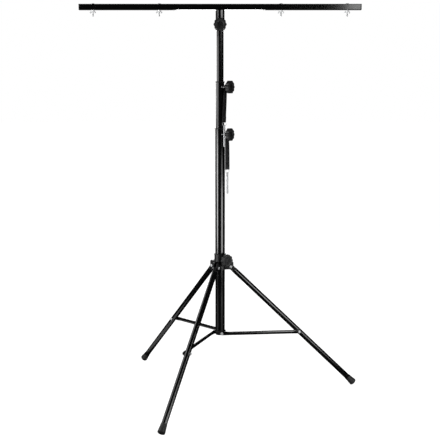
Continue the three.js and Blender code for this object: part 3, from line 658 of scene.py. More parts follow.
def reskin(node: str, edge: float, finish: Finish, body: str, suffix: str = "skin") -> None:
    """Makes a CAD solid's refined copy the piece that stands for it, under its name and a suffix."""
    finished(f"{node}_{suffix}", refined(node, edge), finish, body, [node])


# Repeated details, made by Geometry Nodes


class Detail(NodeTree):
    """A Geometry Nodes tree with named inputs that ends in a plain mesh."""

    def __init__(self, name: str, sizes: dict[str, float], finish: Finish) -> None:
        """Starts a tree with its group input and named number inputs.

        Args:
            name: The tree's name.
            sizes: Each input's name and value.
            finish: What the result is finished in.
        """
        group = bpy.data.node_groups.new(name, "GeometryNodeTree")
        group.interface.new_socket("Geometry", in_out="INPUT", socket_type="NodeSocketGeometry")
        for label in sizes:
            group.interface.new_socket(label, in_out="INPUT", socket_type="NodeSocketFloat")
        group.interface.new_socket("Geometry", in_out="OUTPUT", socket_type="NodeSocketGeometry")
        self.sizes = sizes
        self.finish = finish
        super().__init__(group)
        self.given = self.node("NodeGroupInput")
        self.base = self.given.outputs["Geometry"]

    def size(self, label: str) -> Value:
        """One of the named inputs."""
        return Value(self, self.given.outputs[label])

    def ring(self, sides: int, radius: Any) -> bpy.types.Node:
        """A circle as a curve."""
        shape = {"Resolution": sides, "Radius": radius}
        return self.node("GeometryNodeCurvePrimitiveCircle", None, shape)

    def instances(self, points: Any, what: Any, **inputs: Any) -> bpy.types.Node:
        """Copies of a shape on points, with the Scale and Rotation that are given."""
        inputs.update(Points=points, Instance=what)
        return self.node("GeometryNodeInstanceOnPoints", None, inputs)

    def balls(self, points: Any, turn: Any, segments: int, rings: int, sizes: Sequence[str]) -> None:
        """Ends the tree with a stretched ball on each point.

        Args:
            points: The points.
            turn: A ball's rotation.
            segments: Its faces round.
            rings: Its faces from pole to pole.
            sizes: The inputs that hold its half sizes along X, Y and Z.
        """
        faces = {"Segments": segments, "Rings": rings, "Radius": 1.0}
        ball = self.node("GeometryNodeMeshUVSphere", None, faces)
        halves = {axis: self.size(label) for axis, label in zip("XYZ", sizes)}
        scale = self.node("ShaderNodeCombineXYZ", None, halves)
        self.close(self.instances(points, ball, Rotation=turn, Scale=scale))

    def sweep(self, curve: Any, sides: int) -> None:
        """Ends the tree with a round wire along a curve, whose radius is the input named wire."""
        wire = {"Curve": curve, "Profile Curve": self.ring(sides, self.size("wire")), "Fill Caps": True}
        self.close(self.node("GeometryNodeCurveToMesh", None, wire))

    def close(self, geometry: Any) -> None:
        """Realizes the instances and sets the material.

        Args:
            geometry: The last node.
        """
        real = self.node("GeometryNodeRealizeInstances", None, {"Geometry": geometry})
        smooth = self.node("GeometryNodeSetShadeSmooth", None, {"Geometry": real})
        finish = {"Geometry": smooth, "Material": self.finish.material()}
        painted = self.node("GeometryNodeSetMaterial", None, finish)
        self.node("NodeGroupOutput", None, {"Geometry": painted})

    def run(self, base: Mesh, place: Matrix | None = None) -> Mesh:
        """Runs the tree over a mesh.

        Args:
            base: The points or path that the detail follows.
            place: The frame that they are in, where it isn't the world.

        Returns:
            The detail's mesh, in place.
        """
        group = self.tree
        sockets = [item for item in group.interface.items_tree if item.in_out == "INPUT"]
        inputs = {item.identifier: self.sizes[item.name] for item in sockets if item.name in self.sizes}
        result = evaluated(base, "NODES", {"node_group": group}, inputs)
        bpy.data.node_groups.remove(group)
        if place:
            result.transform(place)
        return result


def points_mesh(points: Sequence[Vector], path: bool = False) -> Mesh:
    """Bare points, or a path of edges along them.

    Args:
        points: The points.
        path: Whether each is joined to the next.

    Returns:
        The mesh.
    """
    edges = [(i, i + 1) for i in range(len(points) - 1)] if path else []
    mesh = bpy.data.meshes.new("points")
    mesh.from_pydata([tuple(point) for point in points], edges, [])
    return mesh


@dataclass(frozen=True)
class Thread:
    """A zinc screw thread: its crest as a wire wound round the Z axis of a frame."""

    radius: float
    pitch: float
    wire: float
    steps: int = 14
    crest_sides: int = 4

    def mesh(self, place: Matrix, length: float) -> Mesh:
        """Winds the thread.

        Args:
            place: Its frame.
            length: Its length.

        Returns:
            The mesh, in place.
        """
        sizes = {"radius": self.radius, "length": length, "turns": length / self.pitch, "wire": self.wire}
        detail = Detail("screw_thread", sizes, ZINC)
        inputs = {"Rotations": "turns", "Start Radius": "radius", "End Radius": "radius", "Height": "length"}
        spiral = {socket: detail.size(label) for socket, label in inputs.items()}
        spiral["Resolution"] = self.steps
        detail.sweep(detail.node("GeometryNodeCurveSpiral", None, spiral), self.crest_sides)
        return detail.run(points_mesh([Vector()]), place)


@dataclass(frozen=True)
class Beads:
    """Small rounded beads in a row, such as stitches or the ripples of a weld.

    A bead is given by half its width, height and length, and the row by its spacing.
    """

    width: float
    height: float
    length: float
    spacing: float

    def mesh(self, path: Sequence[Vector], finish: Finish) -> Mesh:
        """Lays the beads along a path.

        Args:
            path: The row's line.
            finish: Their finish.

        Returns:
            The mesh.
        """
        detail = Detail("bead_row", asdict(self), finish)
        line = detail.node("GeometryNodeMeshToCurve", None, {"Mesh": detail.base})
        row = {"Curve": line, "Length": detail.size("spacing")}
        points = detail.node("GeometryNodeCurveToPoints", {"mode": "LENGTH"}, row)
        halves = ("width", "height", "length")
        detail.balls(points, points.outputs["Rotation"], segments=8, rings=6, sizes=halves)
        return detail.run(points_mesh(path, True))


@dataclass(frozen=True)
class Rivets:
    """Domed zinc rivet heads."""

    radius: float = 3.0 * MM
    height: float = 1.5 * MM

    def mesh(self, places: Sequence[tuple[Vector, Vector]]) -> Mesh:
        """Sets the heads.

        Args:
            places: Each rivet's point and the direction that it faces.

        Returns:
            The mesh.
        """
        base = points_mesh([point for point, _ in places])
        facing = base.attributes.new("facing", "FLOAT_VECTOR", "POINT")
        for i, (_, direction) in enumerate(places):
            facing.data[i].vector = direction
        detail = Detail("rivet_heads", asdict(self), ZINC)
        kind = {"data_type": "FLOAT_VECTOR"}
        towards = detail.node("GeometryNodeInputNamedAttribute", kind, {"Name": "facing"})
        turn = detail.node("FunctionNodeAlignRotationToVector", {"axis": "Z"}, {"Vector": towards})
        detail.balls(detail.base, turn, segments=20, rings=10, sizes=("radius", "radius", "height"))
        return detail.run(base)


@dataclass(frozen=True)
class Hoops:
    """Raised rubber hoops at equal steps round a cone; each pair is of the first and last hoop."""

    radii: tuple[float, float] = (15.35 * MM, 13.75 * MM)
    heights: tuple[float, float] = (9 * MM, 26 * MM)
    count: int = 5
    wire: float = 0.55 * MM
    sides: int = 40
    wire_sides: int = 8

    def mesh(self, place: Matrix) -> Mesh:
        """Lays the hoops round the Z axis of a frame.

        Args:
            place: The frame.

        Returns:
            The mesh, in place.
        """
        sizes = {"first": self.radii[0], "last": self.radii[1], "wire": self.wire}
        detail = Detail("hoops", sizes, RUBBER)
        gaps = self.count - 1
        first, last = detail.size("first"), detail.size("last")
        radius = first + (last - first) * detail.value("GeometryNodeInputIndex") * (1 / gaps)
        rings = detail.instances(detail.base, detail.ring(self.sides, 1.0), Scale=radius)
        real = detail.node("GeometryNodeRealizeInstances", None, {"Geometry": rings})
        detail.sweep(real, self.wire_sides)
        low, high = self.heights
        levels = [Vector((0, 0, low + (high - low) / gaps * i)) for i in range(self.count)]
        return detail.run(points_mesh(levels), place)


@dataclass(frozen=True)
class BossWeld:
    """The rippled weld where the round boss of a clamp meets a tube."""

    tube: float
    boss: float = 8.0 * MM
    overlap: float = 0.3 * MM
    lift: float = 0.2 * MM
    steps: int = 48
    ripples: Beads = Beads(1.2 * MM, 1.2 * MM, 1.0 * MM, 1.1 * MM)

    def mesh(self, azimuth: float, height: float) -> Mesh:
        """Lays the weld.

        Args:
            azimuth: The boss's direction.
            height: Its height.

        Returns:
            The mesh.
        """
        out, side = azimuth_vector(azimuth), sideways_vector(azimuth)
        radius = self.boss + self.overlap
        path = []
        for i in range(self.steps + 1):
            turn = 2 * math.pi * i / self.steps
            across, up = radius * math.cos(turn), radius * math.sin(turn)
            reach = math.sqrt(self.tube**2 - across**2) + self.lift
            path.append(Vector((MAST.x, MAST.y, height + up)) + out * reach + side * across)
        return self.ripples.mesh(path, PAINT)


# The stand's sub-assemblies


@dataclass
class Knob:
    """A lobed clamp knob on a threaded stud; the collar is drawn from its back, the rest from its front."""

    node: str
    body: str
    azimuth: float
    back: float
    stud_from: float
    radius: float = 28.0 * MM
    thickness: float = 18.0 * MM
    lobes: int = 10
    lobe_depth: float = 3.0 * MM
    lobe_power: float = 1.5
    edge: float = 3.2 * MM
    edge_steps: int = 5
    collar: Profile = ((8.6, -1.2), (8.9, -0.9), (9.0, 0.0))
    face: Profile = ((17.1, 0.0), (15.5, -0.5), (13.5, -2.0), (2.0, -2.0))
    plug: Profile = ((0, -2.5), (11.0, -2.5), (11.0, -1.1), (10.4, -0.5), (6.6, -0.15), (0, 0.0))
    stud_core: float = 3.7 * MM
    stud_bevel: float = 0.8 * MM
    stud_sides: int = 24
    thread: Thread = Thread(3.85 * MM, 1.25 * MM, 0.32 * MM)
    thread_start: float = 1.0 * MM
    thread_end: float = 1.4 * MM
    steps: int = 120

    def build(self) -> None:
        """Builds the grip, its cap, the stud and the stud's thread."""
        self.front = self.back + self.thickness
        self.place = facing_out(self.azimuth, 0, centre_of(self.node).z)
        finished(f"{self.node}_grip", self.grip(), GRIP, self.body, [self.node])
        cap = turned(millimetres(self.plug, self.front), self.place)
        finished(f"{self.node}_cap", cap, MOULDED, self.body)
        core, bevel, start = self.stud_core, self.stud_bevel, self.stud_from
        tip = [(0, start), (core - bevel, start), (core, start + bevel)]
        stud = turned([*tip, (core, self.back), (0, self.back)], self.place, self.stud_sides)
        finished(f"{self.node}_stud", stud, ZINC, self.body)
        start += self.thread_start
        place = self.place @ Matrix.Translation((0, 0, start))
        thread = self.thread.mesh(place, self.back - start - self.thread_end)
        finished(f"{self.node}_thread", thread, ZINC, self.body)

    def outline(self, inset: float, height: float) -> list[Vector]:
        """The lobed outline.

        Args:
            inset: How far it is drawn in.
            height: Its height along the axis.

        Returns:
            Its points.
        """
        points = []
        for turn in turns(self.steps):
            wave = (0.5 - 0.5 * math.cos(self.lobes * turn)) ** self.lobe_power
            reach = self.radius - self.lobe_depth * wave - inset
            points.append(Vector((reach * math.cos(turn), reach * math.sin(turn), height)))
        return points

    def grip(self) -> Mesh:
        """The grip, with rounded rims, a dished face and a collar behind.

        Returns:
            The mesh, in place.
        """
        quarter = [math.radians(90 * i / self.edge_steps) for i in range(self.edge_steps + 1)]
        rim = [(self.edge * (1 - math.sin(t)), self.edge * (1 - math.cos(t))) for t in quarter]
        rings = [circle(*point, self.steps) for point in millimetres(self.collar, self.back)]
        rings += [self.outline(inset, self.back + rise) for inset, rise in rim]
        rings.append(self.outline(0, (self.back + self.front) / 2))
        rings += [self.outline(inset, self.front - rise) for inset, rise in reversed(rim)]
        rings += [circle(*point, self.steps) for point in millimetres(self.face, self.front)]
        return skinned(rings, self.place)


@dataclass
class Mast:
    """The three tubes, their guide bushes, welded bosses and rivets."""

    clamp_azimuth: float = 60.0
    rivet_azimuth: float = 25.0
    rivet_sink: float = 0.1 * MM
    rivets: Rivets = Rivets()
    column_radius: float = 21.0 * MM
    mid_radius: float = 18.0 * MM
    edge: float = 0.4 * MM

    def build(self) -> None:
        """Dresses the tubes, then adds the rivets and the weld round each boss."""
        for node, body, finish in (
            ("column_tube", "column", PAINT),
            ("mid_tube", "mid_section", SLIDING_PAINT),
            ("top_tube", "top_section", SLIDING_PAINT),
            ("column_guide_bush", "column", MOULDED),
            ("mid_guide_bush", "mid_section", MOULDED),
            ("mid_tube_end_plug", "mid_section", MOULDED),
            ("top_tube_end_plug", "top_section", MOULDED),
        ):
            reskin(node, self.edge, finish, body)
        for body, radius, knob in (
            ("column", self.column_radius, "column_clamp_knob"),
            ("mid_section", self.mid_radius, "mid_clamp_knob"),
        ):
            height = centre_of(knob).z
            places = []
            for azimuth in (self.rivet_azimuth, self.rivet_azimuth + 180):
                places.append((on_mast(azimuth, radius - self.rivet_sink, height), azimuth_vector(azimuth)))
            finished(f"{body}_rivets", self.rivets.mesh(places), ZINC, body)
            finished(f"{body}_boss_weld", BossWeld(radius).mesh(self.clamp_azimuth, height), PAINT, body)


@dataclass
class TBar:
    """The square bar, its caps, its socket and the accessory bolts."""

    bar_edge: float = 0.3 * MM
    socket_edge: float = 0.5 * MM
    cap_edge: float = 0.8 * MM
    nut_edge: float = 0.7 * MM
    socket_radius: float = 19.0 * MM
    bolts: int = 4
    bolt_tip: Profile = ((0, 0), (2.1, 0), (2.75, 0.7))
    bolt_head: Profile = (
        (2.75, -3.3), (7.2, -3.3), (7.5, -3.0), (7.5, -2.4),
        (7.05, -1.3), (5.625, -0.5), (3.0, -0.08), (0, 0),
    )
    thread: Thread = Thread(2.9 * MM, 1.0 * MM, 0.26 * MM)
    thread_start: float = 0.8 * MM
    thread_length: float = 24.0 * MM
    weld: Beads = Beads(1.5 * MM, 1.3 * MM, 1.3 * MM, 1.6 * MM)
    weld_gap: float = 0.2 * MM
    weld_drop: float = 0.3 * MM
    weld_steps: int = 12

    def build(self) -> None:
        """Dresses the bar and builds its welds, bolts and wing nuts."""
        for node, edge, finish in (
            ("t_bar_tube", self.bar_edge, PAINT),
            ("t_bar_socket", self.socket_edge, PAINT),
            ("t_bar_cap_left", self.cap_edge, MOULDED),
            ("t_bar_cap_right", self.cap_edge, MOULDED),
        ):
            reskin(node, edge, finish, "crossbar")
        weld = BossWeld(self.socket_radius).mesh(0, centre_of("socket_clamp_knob").z)
        finished("socket_boss_weld", weld, PAINT, "crossbar")
        finished("socket_bar_weld", self.bar_weld(), PAINT, "crossbar")
        for number in range(1, self.bolts + 1):
            self.bolt(number)

    def bar_weld(self) -> Mesh:
        """The weld between the socket's top and the bar's underside.

        Returns:
            The mesh.
        """
        low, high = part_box("t_bar_tube")
        half = (high[1] - low[1]) / 2
        reach = math.sqrt(self.socket_radius**2 - half**2)
        path = []
        for side in (-1, 1):
            y = MAST.y + side * (half + self.weld_gap)
            for i in range(self.weld_steps + 1):
                x = reach * (2 * i / self.weld_steps - 1) * side
                path.append(Vector((MAST.x + x, y, low[2] - self.weld_drop)))
        return self.weld.mesh(path, PAINT)

    def bolt(self, number: int) -> None:
        """One accessory bolt with its thread and wing nut.

        Args:
            number: Which bolt.
        """
        node, nut = f"accessory_bolt_{number}", f"wing_nut_{number}"
        x, y, _ = centre_of(node)
        end, top = (corner[2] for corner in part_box(node))
        profile = millimetres(self.bolt_tip, end) + millimetres(self.bolt_head, top)
        bolt = turned(profile, Matrix.Translation((x, y, 0)))
        thread = self.thread.mesh(Matrix.Translation((x, y, end + self.thread_start)), self.thread_length)
        finished(f"{node}_turned", bolt, BRIGHT_ZINC, "crossbar", [node])
        finished(f"{node}_thread", thread, ZINC, "crossbar")
        reskin(nut, self.nut_edge, BRIGHT_ZINC, nut, "cast")


@dataclass
class LegSet:
    """The sliding hub, the base hub, three legs and three struts."""

    azimuths: Point = (98.1, -21.9, -141.9)
    spread: float = 45.8
    leg_reach: float = 794.2 * MM
    hub_edge: float = 0.7 * MM
    foot_ribs: Hoops = Hoops()

    def build(self) -> None:
        """Dresses the hubs, then each leg."""
        reskin("leg_hub", self.hub_edge, MOULDED, "hub")
        reskin("base_hub", self.hub_edge, MOULDED, "column")
        for number, azimuth in enumerate(self.azimuths, 1):
            self.leg(number, azimuth)

    def leg(self, number: int, azimuth: float) -> None:
        """One leg with its foot, strut and bolts.

        Args:
            number: Which leg.
            azimuth: Its direction.
        """
        leg, strut = f"leg_{number}", f"strut_arm_{number}"
        for stem, body, finish, edge in (
            ("leg_tube", leg, PAINT, 0.3),
            ("leg_head", leg, MOULDED, 0.6),
            ("rubber_foot", leg, RUBBER, 1.2),
            ("leg_bolt", leg, ZINC, 0.4),
            ("strut", strut, PAINT, 0.8),
            ("strut_nut", strut, ZINC, 0.4),
            ("hub_pivot_bolt", "hub", ZINC, 0.4),
            ("base_pivot_bolt", "column", ZINC, 0.4),
        ):
            reskin(f"{stem}_{number}", edge * MM, finish, body)
        down = azimuth_vector(azimuth) * math.sin(math.radians(self.spread))
        down.z = -math.cos(math.radians(self.spread))
        foot = centre_of(f"hub_pivot_bolt_{number}") + down * self.leg_reach
        ribs = self.foot_ribs.mesh(axes_to(foot, -down, sideways_vector(azimuth)))
        finished(f"rubber_foot_ribs_{number}", ribs, RUBBER, leg)


@dataclass
class Tether:
    """A webbing strap on a clamp stud, its split ring and its locking pin.

    The strap's section is drawn in shares of its half width and of its thickness.
    """

    which: str
    knob: str
    azimuth: float
    strap_azimuth: float
    eye: float
    clamp_azimuth: float = 60.0
    twist_power: float = 5.0
    bow: float = 0.5 * MM
    curl_radius: float = 13.0 * MM
    curl_power: float = 6.0
    least_curl: float = 0.01
    width: float = 20.8 * MM
    thickness: float = 2.2 * MM
    section: Profile = ((1, 0.35), (0.94, 0.8), (0.8, 1), (0.6, 1), (0.4, 1), (0.2, 1))
    steps: int = 40
    eye_rise: float = 12.0 * MM
    eye_rises: Sequence[float] = (0.35, 0.7, 0.9, 0.98)
    fold_length: float = 26.0 * MM
    fold_thickness: float = 1.9
    fold_pinch: float = 0.6
    stitch_inset: float = 3.0 * MM
    stitch_lift: float = 0.05 * MM
    box_stitch: Beads = Beads(0.32 * MM, 0.28 * MM, 1.0 * MM, 2.4 * MM)
    box_from: float = 0.07
    box_margin: float = 0.015
    box_steps: int = 6
    edge_stitch: Beads = Beads(0.3 * MM, 0.25 * MM, 1.0 * MM, 2.6 * MM)
    edge_margin: float = 0.02
    edge_to: float = 0.86
    edge_steps: int = 16
    eyelet_edge: Profile = ((4.35, 0.45), (6.75, 0.45), (7.2, 0.0), (6.75, -0.45), (5.55, -0.45))
    eyelet_sides: int = 36
    ring_radius: float = 9.0 * MM
    ring_wire: float = 0.62 * MM
    wire_sides: int = 8
    ring_overlap: float = 2.5 * MM
    ring_turns: float = 1.9
    ring_start: float = 0.4
    ring_width: float = 1.1 * MM
    ring_steps: int = 100
    pin_edge: float = 0.5 * MM

    def build(self) -> None:
        """Builds the strap with its stitches and eyelet, the ring and the pin."""
        strap, ring, pin = (f"{self.which}_{part}" for part in ("strap", "pin_ring", "locking_pin"))
        self.ring = centre_of(ring)
        self.height = centre_of(self.knob).z
        self.length = self.height - self.ring.z
        finished(f"{self.which}_webbing", self.strap(), STRAP_WEAVE, strap, [strap])
        finished(f"{self.which}_stitches", self.stitches(), STITCH, strap)
        finished(f"{self.which}_eyelet", self.eyelet(), ZINC, strap)
        finished(f"{self.which}_split_ring", self.split_ring(), CHROME, f"{self.which}_ring", [ring])
        reskin(pin, self.pin_edge, CHROME, f"{self.which}_pin")

    def station(self, share: float) -> tuple[Vector, Vector, Vector]:
        """A place on the strap's middle line.

        Args:
            share: 0 at the ring and 1 at the stud.

        Returns:
            The place, the direction across the strap and the direction out of its face.
        """
        low = self.ring + Vector((0, 0, self.ring_radius - self.ring_overlap))
        high = on_mast(self.clamp_azimuth, self.eye, self.height)
        azimuth = self.strap_azimuth + (self.clamp_azimuth - self.strap_azimuth) * share**self.twist_power
        out = azimuth_vector(azimuth)
        place = low.lerp(high, share) + out * (self.bow * math.sin(math.pi * share))
        return place, sideways_vector(azimuth), out

    def point(self, share: float, side: float, lift: float) -> Vector:
        """A point of the strap, which is curled a little across its width.

        Args:
            share: 0 at the ring and 1 at the stud.
            side: The distance from the strap's middle line, along the curl.
            lift: The distance out of the strap's middle surface.

        Returns:
            The point.
        """
        place, across, out = self.station(share)
        radius = self.curl_radius / max(1 - share**self.curl_power, self.least_curl)
        turn = side / radius
        outward = across * math.sin(turn) + out * math.cos(turn)
        return place + outward * (radius + lift) - out * radius

    def thick(self, share: float) -> float:
        """The strap's thickness, which is nearly twice as much in the fold below."""
        return self.thickness * (self.fold_thickness if share * self.length < self.fold_length else 1.0)

    def strap(self) -> Mesh:
        """The strap: a single web above and a sewn double fold round the ring below.

        Returns:
            The mesh, with its weave's coordinates.
        """
        rows = []
        for i in range(self.steps + 1):
            share = i / self.steps
            rows.append((share, 0.0, self.thick(share) * (1.0 if i else self.fold_pinch), self.width / 2))
        for rise in self.eye_rises:
            rows.append((1.0, self.eye_rise * rise, self.thickness, self.width / 2 * math.sqrt(1 - rise**2)))
        section = [(-column, edge) for column, edge in self.section] + [(0, 1), *reversed(self.section)]
        across = [(column + 1) / 2 for column, _ in section]
        rings, spans = [], []
        for share, rise, thick, half in rows:
            front, back = (
                [self.point(share, c * half, face * thick / 2 * e) + UP * rise for c, e in section]
                for face in (1, -1)
            )
            rings.append(front + back[::-1])
            spans.append(share * self.length + rise)
        shape = bmesh.new()
        layer = shape.loops.layers.uv.new("weave")
        weave = {}
        for corners, span in zip(skin_over(shape, rings), spans):
            weave.update({corner: (u, span) for corner, u in zip(corners, across + across[::-1])})
        for face in shape.faces:
            for loop in face.loops:
                loop[layer].uv = weave[loop.vert]
        return closed_mesh(shape, Matrix.Identity(4), CLOTH_EDGE)

    def stitches(self) -> Mesh:
        """Rows of stitches that close the fold and edge the strap.

        Returns:
            The mesh.
        """
        top = self.fold_length / self.length
        low, high = self.box_from, top - self.box_margin
        climb = [(high - low) * i / self.box_steps for i in range(1, self.box_steps + 1)]
        box = [(low, side) for side in (-1, -0.5, 0, 0.5, 1)] + [(low + rise, 1) for rise in climb]
        box += [(high, side) for side in (0.5, 0, -0.5, -1)] + [(high - rise, -1) for rise in climb]
        climb = [(self.edge_to - top) * i / self.edge_steps for i in range(self.edge_steps + 1)]
        rows = [(box, self.box_stitch)]
        for side in (-1, 1):
            rows.append(([(top + self.edge_margin + rise, side) for rise in climb], self.edge_stitch))
        inset = self.width / 2 - self.stitch_inset
        meshes = []
        for face in (1, -1):
            for row, stitch in rows:
                lifts = [face * (self.thick(share) / 2 + self.stitch_lift) for share, _ in row]
                path = [self.point(share, side * inset, lift) for (share, side), lift in zip(row, lifts)]
                meshes.append(stitch.mesh(path, STITCH))
        return joined(meshes)

    def eyelet(self) -> Mesh:
        """The metal eyelet that the stud passes through.

        Returns:
            The mesh.
        """
        above = millimetres(self.eyelet_edge, self.thickness / 2)
        below = [(radius, -height) for radius, height in above]
        place = facing_out(self.clamp_azimuth, self.eye, self.height)
        return turned([*below, *reversed(above), below[0]], place, self.eyelet_sides)

    def split_ring(self) -> Mesh:
        """A split ring: two flat turns of one wire, side by side.

        Returns:
            The mesh.
        """
        out, side = azimuth_vector(self.azimuth), sideways_vector(self.azimuth)
        path, rings = [], []
        for i in range(self.ring_steps + 1):
            turn = 2 * math.pi * self.ring_turns * i / self.ring_steps + self.ring_start
            level = self.ring + side * self.ring_radius * math.cos(turn)
            rise = Vector((0, 0, self.ring_radius * math.sin(turn)))
            path.append(level + rise + out * ((i / self.ring_steps - 0.5) * self.ring_width))
        for before, point, after in zip([path[0], *path], path, [*path[1:], path[-1]]):
            basis = axes_to(point, after - before, ASKEW)
            rings.append([basis @ corner for corner in circle(self.ring_wire, 0, self.wire_sides)])
        return skinned(rings, Matrix.Identity(4))


# The studio


@dataclass(frozen=True)
class Softbox:
    """A soft light that faces the mast: its place round it, its size and its radiance."""

    name: str
    azimuth: float
    height: float
    width: float
    tall: float
    radiance: float
    distance: float = 2.2
    lying: bool = False
    watts_per_radiance: float = 4.0

    def build(self) -> None:
        """Builds the light, upright and aimed at the mast, or lying flat and aimed down or up."""
        light = bpy.data.lights.new(self.name, "AREA")
        light.shape = "RECTANGLE"
        light.size = self.width
        light.size_y = self.tall
        light.energy = self.radiance * self.watts_per_radiance * self.width * self.tall
        holder = linked(self.name, light)
        holder.visible_camera = False
        place = facing_out(self.azimuth, self.distance, self.height)
        if self.lying:
            away = Vector((0, 0, 1 if self.height > self.distance / 2 else -1))
            place = axes_to(place.translation, away, azimuth_vector(self.azimuth))
        holder.matrix_world = place


SOFTBOXES = (
    Softbox("column_left", -65.0, 0.62, 0.95, 0.7, 18.0),
    Softbox("column_left_top", -66.0, 1.03, 1.05, 0.12, 10.0),
    Softbox("column_side_left", -88.0, 0.9, 0.7, 0.4, 5.0),
    Softbox("column_side_left_low", -88.0, 0.5, 0.7, 0.4, 1.6),
    Softbox("column_right", 47.0, 0.54, 1.04, 0.46, 10.0, 1.5),
    Softbox("column_right_top", 44.0, 0.86, 0.84, 0.18, 3.5, 1.5),
    Softbox("floor_left", -63.0, 0.002, 1.0, 1.1, 0.7, 1.55, lying=True),
    Softbox("floor_right", 43.0, 0.002, 1.2, 0.5, 1.8, 1.85, lying=True),
    Softbox("floor_right_near", 43.0, 0.002, 0.9, 0.6, 0.7, 1.3, lying=True),
    Softbox("floor_rear_left", -121.0, 0.002, 0.3, 0.6, 1.1, 0.65, lying=True),
    Softbox("socket_left", -58.0, 1.93, 0.62, 0.26, 9.0),
    Softbox("socket_right", 44.5, 1.93, 1.98, 0.26, 10.0),
    Softbox("tube_left", -73.0, 1.43, 2.1, 0.56, 5.0),
    Softbox("tube_rear_left", -122.0, 1.43, 1.9, 0.56, 2.6),
    Softbox("leg_left", -94.0, 2.45, 1.5, 1.0, 5.0),
    Softbox("leg_above", 42.0, 3.0, 0.6, 0.9, 3.0, 3.1, lying=True),
    Softbox("behind", 180.0, 0.95, 0.6, 1.7, 5.0, 2.6),
)


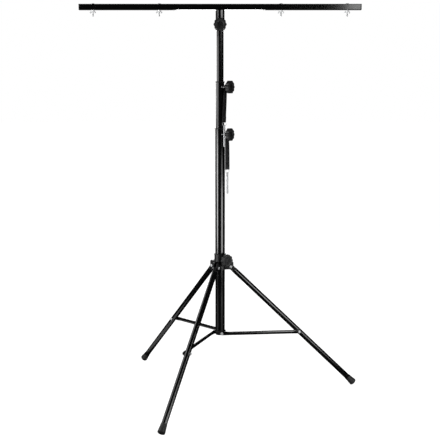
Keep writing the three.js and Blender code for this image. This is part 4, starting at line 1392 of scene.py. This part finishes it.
@dataclass
class Studio:
    """A white floor and background, softboxes in a room that only reflections show, and the camera."""

    camera_distance: float = 4.094
    camera_height: float = 1.317
    camera_pitch: float = 7.6
    camera_shift: float = -0.4 * MM
    camera_reach: float = 200.0
    focal_pixels: float = 943.3
    image_pixels: float = 440.0
    sensor: float = 36.0
    fill: float = 0.35
    shadow: float = 0.2
    floor_white: float = 0.9
    floor_glow: float = 1.2
    floor_half: float = 40.0
    floor_drop: float = 0.2 * MM
    card_black: float = 0.003
    card_reach: float = 7.5
    card_height: float = 6.0
    card_lift: float = 0.4 * MM

    def build(self) -> None:
        """Builds the floor, the world, the dark room, the lamps and the camera."""
        self.floor()
        self.world()
        self.dark_cards()
        for softbox in SOFTBOXES:
            softbox.build()
        self.camera()

    def seen_directly(self, tree: NodeTree) -> Value:
        """1 for rays of the camera, of reflections and of glass.

        Args:
            tree: The tree to add to.

        Returns:
            The value.
        """
        rays = tree.node("ShaderNodeLightPath")
        kinds = ("Camera", "Glossy", "Transmission")
        camera, glossy, through = (Value(tree, rays.outputs[f"Is {kind} Ray"]) for kind in kinds)
        return camera.larger(glossy).larger(through)

    def staged(self, name: str, mesh: Mesh, material: bpy.types.Material) -> bpy.types.Object:
        """Adds a piece of the studio.

        Args:
            name: Its name.
            mesh: Its mesh, in place.
            material: Its material.

        Returns:
            The object.
        """
        mesh.name = name
        mesh.materials.append(material)
        thing = linked(name, mesh)
        thing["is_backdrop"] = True
        return thing

    def floor(self) -> None:
        """A wide white floor that keeps a faint shadow."""
        material = bpy.data.materials.new("floor_white")
        tree = shader_tree(material)
        seen = self.seen_directly(tree)
        matt = tree.node("ShaderNodeBsdfDiffuse", None, {"Color": grey(self.floor_white)})
        glow = tree.node("ShaderNodeEmission", None, {"Color": grey(1), "Strength": self.floor_glow})
        mix = tree.node("ShaderNodeMixShader", None, {0: seen * (1 - self.shadow), 1: matt, 2: glow})
        tree.node("ShaderNodeOutputMaterial", None, {"Surface": mix})
        shape = bmesh.new()
        bmesh.ops.create_grid(shape, x_segments=8, y_segments=8, size=self.floor_half)
        mesh = mesh_of(shape, "floor")
        mesh.transform(Matrix.Translation((0, 0, -self.floor_drop)))
        self.staged("floor", mesh, material)

    def world(self) -> None:
        """A white background that lights the stand only a little."""
        world = bpy.data.worlds.new("studio")
        bpy.context.scene.world = world
        tree = shader_tree(world)
        strength = self.seen_directly(tree) * (1 - self.fill) + self.fill
        sky = tree.node("ShaderNodeBackground", None, {"Color": grey(1), "Strength": strength})
        tree.node("ShaderNodeOutputWorld", None, {"Surface": sky})

    def dark_cards(self) -> None:
        """A dark room round the stand, which only glossy surfaces show."""
        material = bpy.data.materials.new("card_black")
        tree = shader_tree(material)
        matt = tree.node("ShaderNodeBsdfDiffuse", None, {"Color": grey(self.card_black)})
        tree.node("ShaderNodeOutputMaterial", None, {"Surface": matt})
        reach, top, low = self.card_reach, self.card_height, self.card_lift
        profile = [(0, low), (reach, low), (reach, top), (0, top)]
        room = turned(profile, Matrix.Translation((MAST.x, MAST.y, 0)))
        cards = self.staged("cards", room, material)
        for kind in ("camera", "diffuse", "shadow", "transmission", "volume_scatter"):
            setattr(cards, f"visible_{kind}", False)

    def camera(self) -> None:
        """The camera of the photo, fitted to the bar, the legs and the mast."""
        data = bpy.data.cameras.new("photo_view")
        data.sensor_width = self.sensor
        data.lens = self.focal_pixels / self.image_pixels * self.sensor
        data.clip_end = self.camera_reach
        camera = linked("photo_view", data)
        camera.location = (MAST.x + self.camera_shift, MAST.y - self.camera_distance, self.camera_height)
        camera.rotation_euler = (math.radians(90 - self.camera_pitch), 0, 0)
        bpy.context.scene.camera = camera


def main() -> None:
    """Builds the stand's pieces and the studio, and reports each."""
    logging.basicConfig(level=logging.INFO, format="%(name)s: %(message)s")
    parts = [
        Mast(),
        TBar(),
        LegSet(),
        Knob("socket_clamp_knob", "socket_knob", 0.0, 39.4 * MM, 15.4 * MM),
        Knob("mid_clamp_knob", "mid_knob", 60.0, 39.4 * MM, 16.5 * MM),
        Knob("column_clamp_knob", "column_knob", 60.0, 39.4 * MM, 19.5 * MM),
        Knob("hub_clamp_knob", "hub_knob", 38.1, 38.7 * MM, 21.3 * MM),
        Tether("mid", "mid_clamp_knob", 34.1, 34.1, 28.05 * MM),
        Tether("column", "column_clamp_knob", 38.1, 25.0, 35.08 * MM, bow=1.0 * MM, curl_radius=60.0 * MM),
        Studio(),
    ]
    for part in parts:
        part.build()
        LOG.info("built %s", part)
    bpy.context.scene.view_settings.view_transform = "Standard"
    boxes = {"cad": CAD_BOUNDS, "visual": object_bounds()}
    {name: [list(map(float, corner)) for corner in box] for name, box in boxes.items()}


if __name__ == "__main__":
    main()
